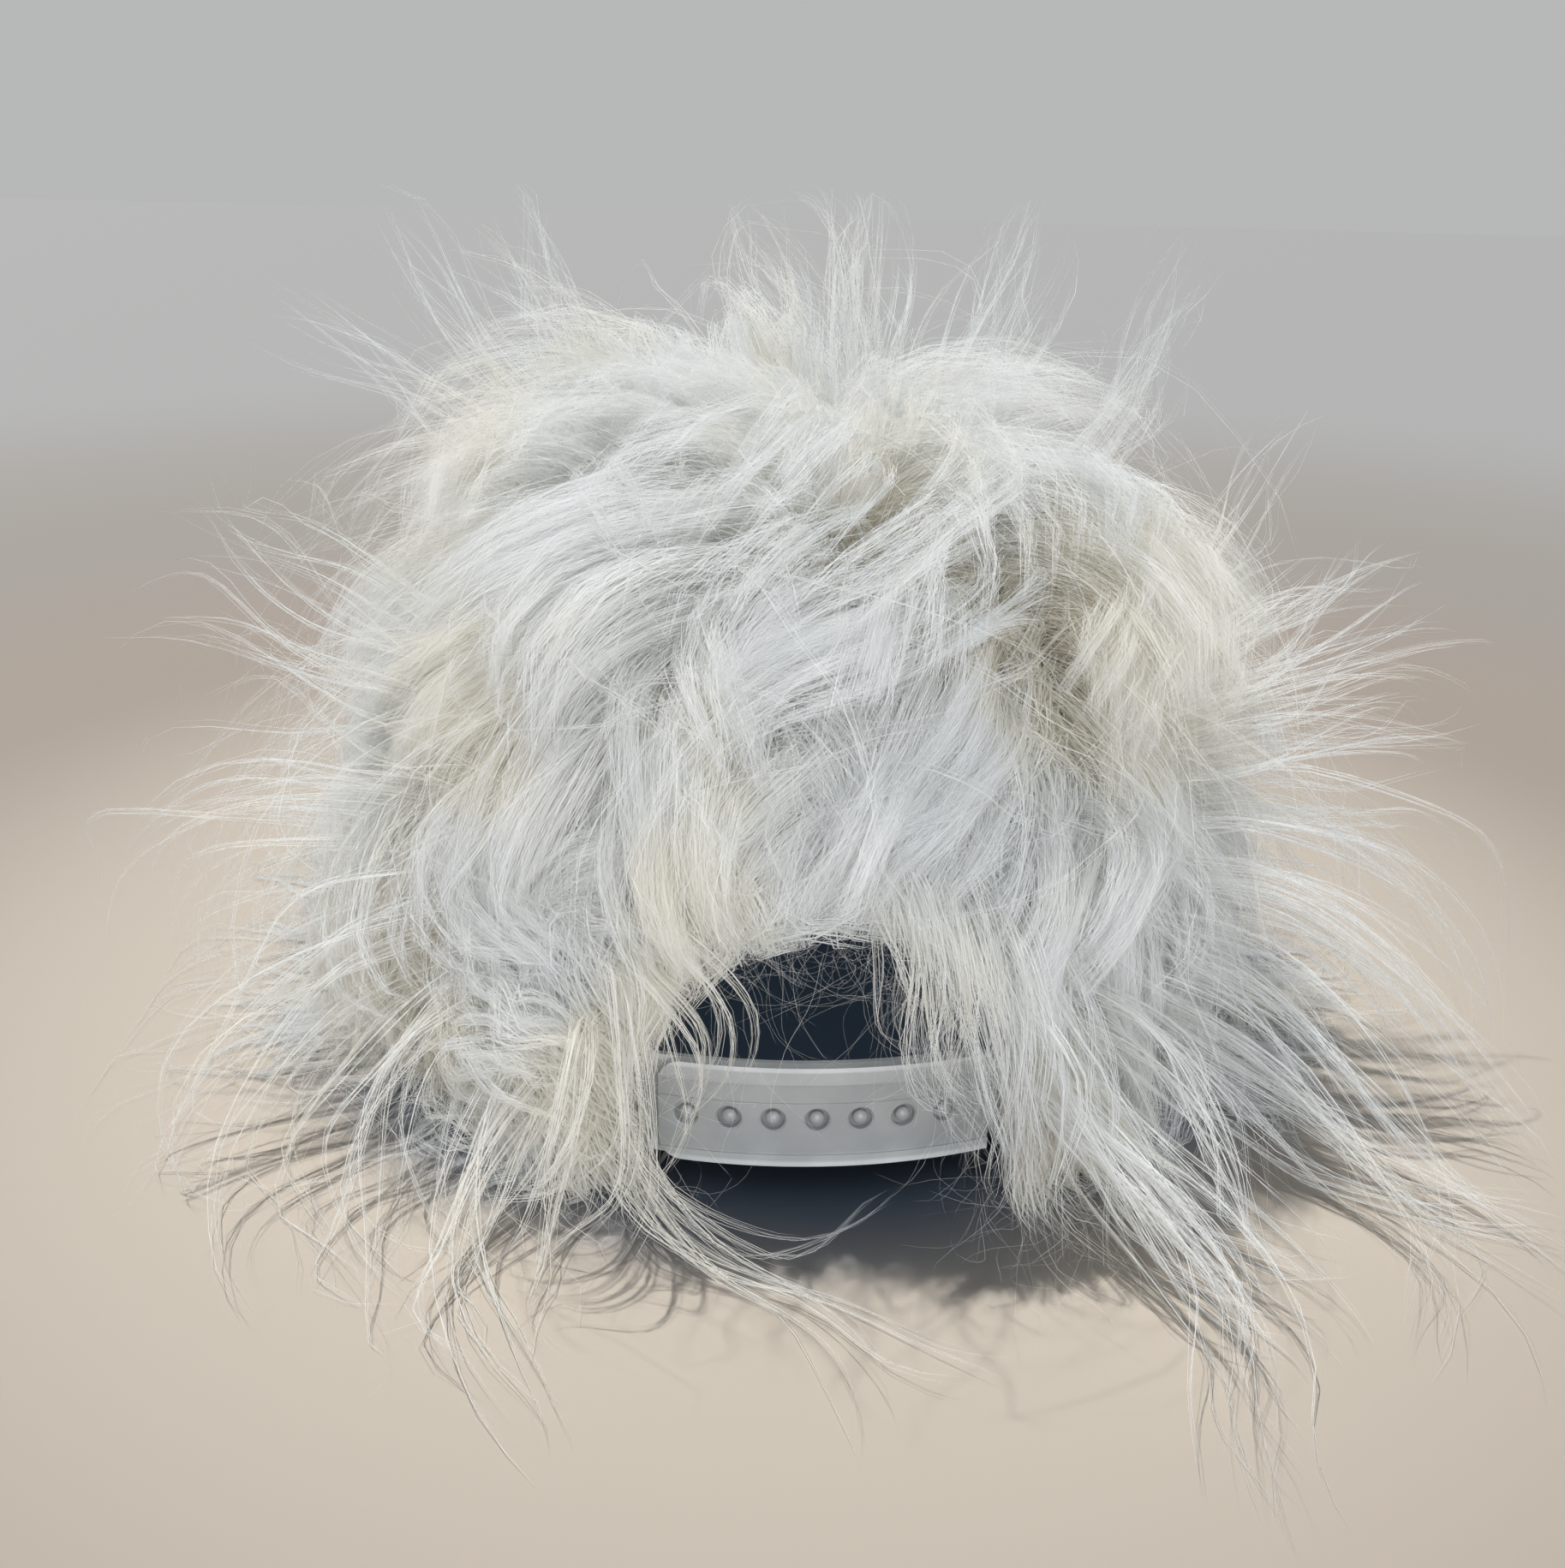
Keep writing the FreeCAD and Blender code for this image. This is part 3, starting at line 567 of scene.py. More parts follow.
def arch_line(margin, offset):
    """Line round the rear arch on the wall's inner side, margin outside the cut edge."""
    half = ARCH_HALF + margin
    turn = np.linspace(0.0, math.pi, 60)
    x = np.concatenate((np.full(8, half), half * np.cos(turn), np.full(8, -half)))
    foot = np.linspace(RIM_Z + 2 * MM, ARCH_SPRING_Z, 8)
    z = np.concatenate((foot, ARCH_SPRING_Z + half * np.sin(turn), foot[::-1]))
    a = CROWN[0] + offset
    y = -(CROWN[1] + offset) * np.sqrt(np.maximum(radius_share(z, offset) ** 2 - (x / a) ** 2, 0.0))
    return facing_in(np.stack((x, y, z), -1))


def tape_edges():
    """Both edges of the tape over each inside seam; the rear one starts above the arch."""
    lines = []
    for k in range(6):
        seam = 0.5 * math.pi - k * math.pi / 3
        side = np.array((-math.sin(seam), math.cos(seam), 0.0))
        low = 74 * MM if k == 3 else 41 * MM
        centre = wall_point(seam, heights(low, 112 * MM, 40)[:, 0], TAPE_FACE)
        for edge in (-3.9 * MM, 3.9 * MM):
            lines.append(facing_in(centre + side * edge))
    return lines


def band_rows(columns):
    """The sweatband's two rows, above its lower edge and below its upper edge."""
    low = lower_edge(columns, BAND_INNER - 0.05 * MM, 0.5 * MM)
    return [facing_in(wall_point(columns, z, BAND_INNER - 0.2 * MM))
            for z in (low + 2.2 * MM, BAND_TOP_Z - 1.8 * MM)]


def sew(band_columns):
    arch_rows = [arch_line(margin, TAPE_FACE) for margin in (1.6 * MM, 6.4 * MM)]
    stitch_mesh("stitches_seam_tapes", tape_edges(), 3.0 * MM, 2.3 * MM, 0.22 * MM)
    stitch_mesh("stitches_sweatband", band_rows(band_columns), 3.4 * MM, 2.6 * MM, 0.24 * MM)
    stitch_mesh("stitches_arch_binding", arch_rows, 2.9 * MM, 2.2 * MM, 0.22 * MM)
    stitch_mesh("stitches_brim_top", brim_rows(False), 3.4 * MM, 2.6 * MM, 0.26 * MM)
    stitch_mesh("stitches_brim_under", brim_rows(True), 3.4 * MM, 2.6 * MM, 0.26 * MM)


def strap_bend(name, sign, tab_offset):
    """The soft bend between a strap's sewn tab and its free part."""
    strap_low, strap_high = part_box("hole_strap" if sign > 0 else "peg_strap")
    mid_z = 0.5 * (strap_low[2] + strap_high[2])
    half_height = 9.3 * MM
    half_thick = 0.55 * MM
    size = 9                      # points along the strap and up it
    xs = np.linspace(33.6, 37.0, size) * MM
    strap_y = strap_high[1] - 1.35 * MM
    tab_x = 36.6 * MM
    tab_y = -(CROWN[1] + tab_offset) * math.sqrt(1.0 - (tab_x / (CROWN[0] + tab_offset)) ** 2)
    ys = strap_y + (tab_y - strap_y) * smooth(34.0 * MM, tab_x, xs)
    zs = mid_z + np.linspace(-half_height, half_height, size)
    skins = []
    for side in (-1.0, 1.0):
        rows = []
        for k, z in enumerate(zs):
            half = half_thick * math.sqrt(max(1.0 - (abs(k - size // 2) / 4.4) ** 6, 0.05))
            lean = 0.105 * (z - mid_z)    # close to the tangent of STRAP_LEAN
            rows.append(np.stack((sign * xs, ys + side * half - lean, np.full(size, z)), -1))
        skins.append(np.stack(rows))
    piece = slab(name, *skins, STRAP, "strap_plastic", None)
    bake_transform(piece)


# ---- pile
def spread_roots(count, seed):
    """Even points over the crown's cloth, with the rear arch and the brim's seam left out."""
    rng = np.random.default_rng(seed)
    tries = 3 * count
    up = rng.uniform(0, 1, tries)
    around = rng.uniform(0, TAU, tries)
    flat = np.sqrt(1.0 - up ** 2)
    p = np.stack((CROWN[0] * flat * np.cos(around), CROWN[1] * flat * np.sin(around), CROWN[2] * up), -1)
    p = onto_crown(p)
    from_spine = np.hypot(p[:, 0], np.maximum(p[:, 2] - ARCH_SPRING_Z, 0.0))
    in_arch = (from_spine < ARCH_HALF + 0.5 * MM) & (p[:, 1] < 0)
    seam = BRIM_TOP_Z + 1.3 * MM - p[:, 0] ** 2 / (2 * BRIM_BOW)
    over_brim = (p[:, 1] > BRIM_START_Y) & (p[:, 2] < seam)
    p = p[~(in_arch | (p[:, 2] < RIM_Z) | over_brim)]
    return p[:count]


def near(p, place, reach, axes):
    """1 at place and falling to 0 over reach, measured along the given axes only."""
    gap = np.linalg.norm((p - np.array(place) * MM)[..., axes], axis=-1)
    return np.exp(-(gap / reach) ** 2)


def comb_direction(p):
    """Which way the pile lies: down and out from a crest at the top, with drifts and a swirl."""
    n = crown_normal(p)
    away = p - np.array(CREST) * MM
    away[..., 2] = 0
    down = np.array((0.0, 0.0, -1.0)) + 0.9 * unit(away)
    flow = unit(down - n * np.sum(down * n, -1, keepdims=True))
    side = np.cross(n, flow)
    rear = smooth(20 * MM, -60 * MM, p[..., 1])
    angle = 0.32 * waves(p, 60 * MM, 11)
    angle = angle + 1.3 * near(p, SWIRL, 30 * MM, (0, 1, 2))
    angle = angle + 0.45 * rear * smooth(45 * MM, 90 * MM, p[..., 0])
    angle = angle - 0.5 * rear * near(p, PARTING, 36 * MM, (0, 2))
    return unit(flow * np.cos(angle)[..., None] + side * np.sin(angle)[..., None])


def part_round_arch(p, lap):
    """Moves points out of the clear funnel in front of the opening, wider where the strap swings out."""
    lap = lap + STRAP_ROOM * (p[..., 0] > 0) * smooth(50 * MM, 36 * MM, p[..., 2])
    spine_z = np.maximum(p[..., 2] - ARCH_SPRING_Z, 0.0)
    depth = np.maximum(ARCH_FACE_Y - p[..., 1], 0.0)
    away = np.hypot(p[..., 0] / (lap + ARCH_FLARE_SIDE * depth), spine_z / (lap + ARCH_FLARE_UP * depth))
    share = np.maximum(1.0 / np.maximum(away, 0.05) - 1.0, 0.0) * (p[..., 1] < -60 * MM)
    out = p.copy()
    out[..., 0] += p[..., 0] * share
    out[..., 2] += spine_z * share
    return out


def above_table(p):
    """Lifts what would pass through the table straight up onto it."""
    out = p.copy()
    out[..., 2] = np.maximum(p[..., 2], FLOOR_CLEAR)
    return out


def settle_on_floor(p):
    """Lays what would pass through the table out on it, away from the cap."""
    under = np.maximum(FLOOR_CLEAR - p[..., 2], 0.0)
    flat = p.copy()
    flat[..., 2] = 0
    return above_table(p + unit(flat) * (0.8 * under)[..., None])


def ease_in(value, reach):
    """Leaves a value below reach alone and keeps a larger one within REACH_EASE of it."""
    over = np.maximum(value - reach, 0.0)
    return np.minimum(value, reach) + REACH_EASE * np.tanh(over / REACH_EASE)


def keep_in_reach(p):
    """Bends the longest flyaways in, so that the pile keeps its overall size."""
    out = p.copy()
    out[..., 0] = np.sign(p[..., 0]) * ease_in(np.abs(p[..., 0]), REACH_SIDE)
    out[..., 1] = -ease_in(-p[..., 1], REACH_BACK)
    out[..., 2] = ease_in(p[..., 2], REACH_TOP)
    return out


def lift_off_brim(p):
    """Lets front locks lie on the brim's top face, not pass through it."""
    top = BRIM_TOP_Z + 1.0 * MM - p[..., 0] ** 2 / (2 * BRIM_BOW)
    over = (p[..., 1] > 30 * MM) & (np.abs(p[..., 0]) < 93 * MM) & (p[..., 1] < 176 * MM)
    over &= np.hypot(p[..., 0] / CROWN[0], p[..., 1] / CROWN[1]) > 1.0
    out = p.copy()
    out[..., 2] = np.where(over, np.maximum(p[..., 2], top), p[..., 2])
    return out


def finish_strands(p, lap_seed):
    """Keeps strands out of the opening, above the brim and the table, and within reach."""
    rng = np.random.default_rng(lap_seed)
    lap = rng.uniform(27.5, 33.5, (len(p), 1)) * MM
    p = part_round_arch(p, lap)
    return keep_in_reach(settle_on_floor(lift_off_brim(p)))


def lock_paths(roots, shape, steps, seed):
    """Centre line of each lock: it rises from the cloth, then lies over and follows the comb."""
    rng = np.random.default_rng(seed)
    count = len(roots)
    foot = roots.copy()
    height = np.zeros(count)
    step = shape["length"] / (steps - 1)
    points = [roots.copy()]
    phase = rng.uniform(0, TAU, count)
    pitch = rng.uniform(19.0, 34.0, count) * MM
    travelled = np.zeros(count)
    for i in range(1, steps):
        s = i / (steps - 1)
        angle = shape["lift"] * (1.0 - s) ** shape["decay"] - shape["droop"] * s
        n = crown_normal(foot)
        flow = comb_direction(foot)
        side = np.cross(n, flow)
        sway = shape["turn"] + shape["curl"] * 0.6 * np.sin(TAU * travelled / pitch + phase)
        flow = unit(flow * np.cos(sway)[:, None] + side * np.sin(sway)[:, None])
        height = np.clip(height + step * np.sin(angle), 1.5 * MM, shape["rise"])
        foot = onto_crown(foot + flow * (step * np.cos(angle))[:, None])
        n = crown_normal(foot)
        wobble = shape["curl"] * 3.0 * MM * np.cos(TAU * travelled / pitch + phase) * s
        points.append(foot + n * (height + wobble)[:, None])
        travelled = travelled + step
    return np.stack(points, 1)


def draw_together(paths, tuft, pull):
    """Pulls the locks of each tuft towards their mean line, more towards the tip."""
    total = np.zeros((tuft.max() + 1, *paths.shape[1:]))
    np.add.at(total, tuft, paths)
    mean = total / np.maximum(np.bincount(tuft), 1)[:, None, None]
    share = pull[:, None] * np.linspace(0, 1, paths.shape[1]) ** 1.3
    return paths + (mean[tuft] - paths) * share[..., None]


def fill_locks(paths, per_lock, spread, gather, stray, seed, length_jitter=0.3):
    """Strands of each lock: side by side at the root and drawn together towards the tip."""
    rng = np.random.default_rng(seed)
    count, steps, _ = paths.shape
    spread, gather, stray = (np.broadcast_to(value, count)[:, None, None]
                             for value in (spread, gather, stray))
    tangent = unit(np.gradient(paths, axis=1))
    n = unit(paths[:, :1] * BROAD_OUTWARD)
    side = unit(np.cross(tangent, n))
    lift = np.cross(side, tangent)
    a = rng.uniform(0, TAU, (count, per_lock))
    r = np.sqrt(rng.uniform(0, 1, (count, per_lock)))
    s = np.linspace(0, 1, steps)
    wide = spread * (1.0 - gather * s ** 0.8)
    across = (r * np.cos(a))[..., None] * wide
    above = (r * np.sin(a))[..., None] * wide
    phase = rng.uniform(0, TAU, (2, count, per_lock, 1))
    wild = 0.25 + 1.6 * (rng.uniform(0, 1, (count, per_lock, 1)) > 0.88)
    loose = stray * s ** 1.5 * rng.uniform(0.2, 1.0, (count, per_lock, 1)) * wild
    turns = rng.uniform(0.6, 2.2, (count, per_lock, 1))
    across = across + loose * np.sin(TAU * turns * s + phase[0])
    above = above + loose * np.sin(TAU * turns * s + phase[1])
    strands = paths[:, None] + side[:, None] * across[..., None] + lift[:, None] * above[..., None]
    keep = 1.0 - length_jitter * rng.uniform(0, 1, (count, per_lock, 1)) ** 1.5
    place = np.clip(s * keep, 0, 1) * (steps - 1)
    low = np.minimum(place.astype(int), steps - 2)
    share = (place - low)[..., None]
    c = np.arange(count)[:, None, None]
    k = np.arange(per_lock)[None, :, None]
    strands = strands[c, k, low] * (1 - share) + strands[c, k, low + 1] * share
    return strands.reshape(-1, steps, 3)


def ribbon_points(strands, root_width, tip_share, rng):
    """Points of thin tapered ribbons: two a step and one at the tip, each ribbon with its own roll."""
    tangent = unit(np.gradient(strands, axis=1))
    out = unit(strands[:, :1] * BROAD_OUTWARD)
    side = unit(np.cross(tangent, out))
    face = np.cross(side, tangent)
    roll = rng.uniform(-0.9, 0.9, (len(strands), 1, 1))
    side = side * np.cos(roll) + face * np.sin(roll)
    s = np.linspace(0, 1, strands.shape[1])
    width = root_width * rng.uniform(0.7, 1.3, (len(strands), 1)) * (1 - (1 - tip_share) * s ** 1.6)
    half = side * (0.5 * width)[..., None]
    body = np.stack((strands - half, strands + half), 2)[:, :-1].reshape(len(strands), -1, 3)
    return np.concatenate((body, strands[:, -1:]), 1)


def ribbon_faces(count, quads):
    """Corners and sizes of the faces: quads up each ribbon, closed by a triangle at its tip."""
    base = (np.arange(count) * (2 * quads + 3))[:, None]
    q = 2 * np.arange(quads)
    corners = np.stack((q, q + 1, q + 3, q + 2), -1).reshape(1, -1) + base
    tip = np.array([2 * quads, 2 * quads + 1, 2 * quads + 2]).reshape(1, -1) + base
    return np.concatenate((corners, tip), 1).ravel(), np.tile(np.array([4] * quads + [3]), count)


def ribbon_map(tone, steps):
    """Across the map a strand's tone, up the map its way from root to tip."""
    s = np.linspace(0, 1, steps)
    v = np.concatenate((np.repeat(s[:-1], 2), [1.0]))
    u = np.repeat(np.clip(tone, 0.02, 0.98)[:, None], len(v), 1)
    u = u + np.concatenate((np.tile([-0.0006, 0.0006], steps - 1), [0.0]))
    return np.stack((u, np.tile(0.02 + 0.96 * v, (len(tone), 1))), -1).reshape(-1, 2)


def ribbon_mesh(name, strands, taper, tone, seed):
    """One mesh of hair ribbons."""
    count, steps = strands.shape[:2]
    verts = ribbon_points(strands, *taper, np.random.default_rng(seed))
    corners, sizes = ribbon_faces(count, steps - 2)
    mesh = bpy.data.meshes.new(name)
    mesh.vertices.add(verts.shape[0] * verts.shape[1])
    mesh.vertices.foreach_set("co", verts.astype(np.float32).ravel())
    mesh.loops.add(len(corners))
    mesh.loops.foreach_set("vertex_index", corners.astype(np.int32))
    mesh.polygons.add(len(sizes))
    starts = np.concatenate(([0], np.cumsum(sizes)[:-1]))
    mesh.polygons.foreach_set("loop_start", starts.astype(np.int32))
    mesh.polygons.foreach_set("use_smooth", np.ones(len(sizes), bool))
    layer = mesh.uv_layers.new(name="OFBake")
    layer.data.foreach_set("uv", ribbon_map(tone, steps)[corners].astype(np.float32).ravel())
    mesh.update(calc_edges=True)
    mesh.validate()
    mesh.materials.append(PILE)
    return add_object(name, mesh)


def panel_of(roots):
    """Index of the crown panel that each root grows on."""
    around = np.degrees(np.arctan2(roots[:, 1], roots[:, 0]))
    mids = np.array(list(PANELS.values()))
    gap = np.abs((around[:, None] - mids + 180.0) % 360.0 - 180.0)
    return gap.argmin(1)


def tone_of(roots, seed):
    """A strand's place across its panel with a little scatter, so that neighbours share a tone."""
    rng = np.random.default_rng(seed)
    around = np.degrees(np.arctan2(roots[:, 1], roots[:, 0])) % 60.0 / 60.0
    return (around + rng.uniform(-0.06, 0.06, len(roots))) % 1.0


def pile_pieces(label, strands, seed, made):
    """Splits strands by panel, and each panel into meshes of a handy size."""
    steps = strands.shape[1]
    most = MOST_FACES // (2 * (steps - 2) + 1)
    index = panel_of(strands[:, 0])
    for k, panel in enumerate(PANELS):
        own = strands[index == k]
        if not len(own):
            continue
        own = own[np.random.default_rng(seed + k).permutation(len(own))]
        for c, part in enumerate(np.array_split(own, math.ceil(len(own) / most))):
            name = "pile_%s_%s_%d" % (label, panel, c)
            tone = tone_of(part[:, 0], seed + 50 + c)
            piece = ribbon_mesh(name, part, RIBBONS[label], tone, seed + 7 * k + c)
            made.setdefault(panel, []).append(piece)


def arch_gap(roots):
    """Distance of each root from the edge of the rear arch, large elsewhere."""
    gap = np.hypot(roots[:, 0], np.maximum(roots[:, 2] - ARCH_SPRING_Z, 0.0)) - ARCH_HALF
    return np.where(roots[:, 1] < 0, gap, 1.0)


def grow_guard_hair(density, made):
    """Long locks in tufts: fluffy and standing off above, stringy and curled below."""
    roots = spread_roots(int(GUARD_LOCKS * density), 21)
    rng = np.random.default_rng(22)
    count = len(roots)
    centres = spread_roots(GUARD_TUFTS, 25)
    tuft = np.linalg.norm(roots[:, None] - centres[None], axis=-1).argmin(1)
    tuft_turn = rng.normal(0, 0.40, len(centres))
    tuft_lift = rng.normal(0, math.radians(13), len(centres))
    tuft_size = rng.uniform(0.75, 1.25, len(centres))
    high = smooth(35 * MM, 95 * MM, roots[:, 2])
    crest = smooth(92 * MM, 112 * MM, roots[:, 2])
    open_side = smooth(0.0, 58 * MM, arch_gap(roots))
    shape = {
        "length": between(rng, (58 * MM, 90 * MM), (48 * MM, 72 * MM), high) * tuft_size[tuft],
        "lift": np.radians(between(rng, (45, 76), (46, 72), high) + 10 * crest) + tuft_lift[tuft],
        "decay": between(rng, (0.7, 1.6), (0.25, 0.7), high) * (1.0 - 0.5 * crest),
        "droop": 0.5 - 0.2 * high,
        "rise": between(rng, (30 * MM, 50 * MM), (46 * MM, 64 * MM), high),
        "turn": tuft_turn[tuft] + rng.normal(0, 0.15, count),
        "curl": between(rng, (0.6, 1.8), (0.0, 0.12), high),
    }
    shape["length"] *= (0.4 + 0.6 * open_side) * (1.0 + 0.15 * crest)
    shape["rise"] *= 0.3 + 0.7 * open_side
    spread = between(rng, (2.2 * MM, 4.2 * MM), (3.5 * MM, 6.0 * MM), high)
    gather = between(rng, (0.80, 0.97), (0.60, 0.95), high)
    stray = (2.0 + 2.5 * high) * MM
    upper = high > 0.35
    for own, steps, per_lock, label in ((upper, 7, 34, "upper"), (~upper, 10, 27, "lower")):
        part = {key: value[own] for key, value in shape.items()}
        paths = lock_paths(roots[own], part, steps, 23)
        paths = draw_together(paths, tuft[own], 0.5 + 0.2 * high[own])
        strands = fill_locks(paths, per_lock, spread[own], gather[own], stray[own], 24)
        pile_pieces(label, finish_strands(strands, 26), 100 + steps, made)


def grow_wool(density, made):
    """Short dense undercoat that closes the gaps between the long locks."""
    roots = spread_roots(int(WOOL_LOCKS * density), 31)
    rng = np.random.default_rng(32)
    count = len(roots)
    shape = {
        "length": rng.uniform(16, 30, count) * MM,
        "lift": np.radians(rng.uniform(50, 85, count)),
        "decay": 1.3,
        "droop": 0.2,
        "rise": rng.uniform(10, 19, count) * MM,
        "turn": rng.normal(0, 0.5, count),
        "curl": 0.35,
    }
    paths = lock_paths(roots, shape, 5, 33)
    strands = fill_locks(paths, 8, 4 * MM, 0.4, 3 * MM, 34)
    pile_pieces("wool", finish_strands(strands, 36), 200, made)


def grow_flyaways(made):
    """Single hairs and thin wisps that stand clear of the rest."""
    roots = spread_roots(FLYAWAY_LOCKS, 41)
    rng = np.random.default_rng(42)
    count = len(roots)
    high = smooth(30 * MM, 90 * MM, roots[:, 2])
    calm = smooth(0.0, 45 * MM, arch_gap(roots))
    shape = {
        "length": rng.uniform(60, 108, count) * MM * (0.35 + 0.65 * calm),
        "lift": np.radians(between(rng, (45, 80), (60, 88), high)),
        "decay": rng.uniform(0.2, 0.9, count),
        "droop": 0.3,
        "rise": between(rng, (34 * MM, 64 * MM), (40 * MM, 66 * MM), high) * (0.3 + 0.7 * calm),
        "turn": rng.normal(0, 0.7, count),
        "curl": between(rng, (0.3, 0.9), (0.1, 0.5), high),
    }
    paths = lock_paths(roots, shape, 12, 43)
    strands = fill_locks(paths, 5, 1.8 * MM, 0.7, 5 * MM, 44, 0.45)
    pile_pieces("flyaway", finish_strands(strands, 46), 300, made)


# Listed locks: strands, spread at the root, share drawn together, stray, then the points from
# root to tip; lengths in mm.
TOP_TUFTS = (
    (60, 3, 0.93, 2.5, (8, 2, 117), (9, 0, 150), (5, -5, 172), (-3, -10, 190)),
    (150, 6, 0.8, 3, (9, 3, 117), (12, 2, 148), (10, -2, 168), (8, -4, 184)),
    (150, 7, 0.75, 3, (0, 4, 118), (0, 2, 146), (-6, 0, 162), (-16, -3, 178)),
    (150, 7, 0.75, 3, (4, -4, 118), (6, -6, 142), (0, -8, 160), (-12, -10, 172)),
    (120, 6, 0.8, 3, (10, 4, 117), (17, 2, 142), (17, 0, 160), (13, 0, 180)),
    (110, 5, 0.88, 3, (-30, -8, 110), (-44, -12, 136), (-54, -14, 160), (-60, -12, 182)),
    (130, 6, 0.85, 3, (-32, -18, 106), (-50, -24, 130), (-66, -28, 152), (-86, -27, 175)),
    (130, 6, 0.85, 3, (-36, -24, 102), (-56, -32, 126), (-78, -38, 145), (-101, -40, 158)),
    (130, 7, 0.8, 3, (-28, -4, 112), (-40, -8, 138), (-52, -12, 156), (-72, -16, 172)),
    (130, 7, 0.75, 3, (-24, -14, 112), (-34, -22, 136), (-46, -28, 152), (-64, -32, 162)),
    (130, 6, 0.85, 3, (22, -2, 114), (32, -4, 140), (40, -5, 162), (45, -5, 181)),
    (120, 7, 0.8, 3, (26, -8, 112), (38, -12, 136), (44, -16, 152), (48, -18, 170)),
    (100, 5, 0.9, 3, (48, 6, 100), (66, 8, 122), (78, 9, 148), (87, 10, 172)),
    (120, 7, 0.8, 3, (44, -10, 102), (60, -16, 124), (70, -20, 142), (74, -24, 162)),
)
SIDE_LOCKS = (
    (90, 6, 0.88, 3, (64, -36, 80), (84, -44, 92), (98, -44, 104), (114, -40, 118)),
    (90, 6, 0.88, 3, (66, -38, 72), (88, -48, 84), (106, -50, 92), (126, -46, 98)),
    (90, 6, 0.88, 3, (66, -42, 64), (90, -54, 76), (110, -58, 80), (132, -56, 80)),
    (80, 6, 0.88, 3, (62, -30, 88), (80, -36, 104), (92, -36, 120), (100, -32, 138)),
    (90, 5, 0.92, 3, (68, -44, 56), (92, -58, 66), (120, -62, 56), (140, -66, 34), (147, -68, 12)),
    (90, 5, 0.92, 3, (66, -50, 44), (94, -68, 50), (120, -76, 36), (138, -84, 14), (146, -94, 2)),
    (90, 5, 0.92, 3, (64, -56, 34), (92, -78, 32), (114, -96, 14), (130, -114, 2), (140, -136, 1)),
    (80, 5, 0.92, 3, (58, -66, 30), (84, -88, 24), (104, -108, 8), (112, -128, 1), (98, -152, 1)),
    (70, 5, 0.92, 3, (60, -62, 40), (88, -82, 40), (108, -98, 24), (120, -112, 6), (116, -126, 1)),
    (90, 6, 0.88, 3.5, (70, -20, 76), (92, -24, 92), (114, -24, 100), (134, -20, 104)),
    (90, 6, 0.88, 3.5, (72, -26, 62), (98, -34, 74), (122, -36, 78), (144, -32, 74)),
    (90, 6, 0.88, 3.5, (74, -32, 50), (102, -44, 58), (126, -48, 54), (146, -48, 42)),
    (90, 6, 0.9, 3.5, (70, -46, 40), (98, -62, 40), (122, -72, 26), (138, -80, 6), (147, -88, 1)),
    (90, 6, 0.9, 3.5, (60, -62, 24), (84, -84, 20), (106, -100, 8), (124, -110, 1), (143, -116, 1)),
    (80, 7, 0.88, 4, (-70, -30, 70), (-96, -36, 82), (-118, -36, 92), (-136, -32, 88)),
    (80, 7, 0.88, 4, (-72, -34, 56), (-100, -42, 66), (-124, -44, 64), (-140, -42, 50)),
    (80, 7, 0.88, 4, (-68, -24, 84), (-92, -28, 98), (-112, -26, 112), (-130, -22, 122)),
    (90, 7, 0.88, 4, (-74, -36, 46), (-104, -46, 50), (-128, -48, 38), (-138, -48, 20)),
    (90, 7, 0.9, 4, (-70, -50, 38), (-98, -66, 38), (-118, -78, 22), (-126, -88, 3), (-116, -100, 1)),
    (90, 7, 0.9, 4, (-66, -54, 30), (-88, -74, 26), (-100, -96, 10), (-94, -116, 1), (-84, -132, 1)),
    (80, 6, 0.92, 4, (-58, -64, 34), (-76, -86, 32), (-84, -104, 16), (-78, -118, 2), (-66, -130, 1)),
    (60, 4, 0.94, 3, (-52, -72, 26), (-62, -96, 22), (-66, -120, 8), (-58, -146, 1), (-48, -166, 1)),
    (70, 5, 0.92, 3.5, (-44, -84, 24), (-54, -104, 18), (-60, -120, 6), (-64, -132, 1), (-56, -148, 1)),
)
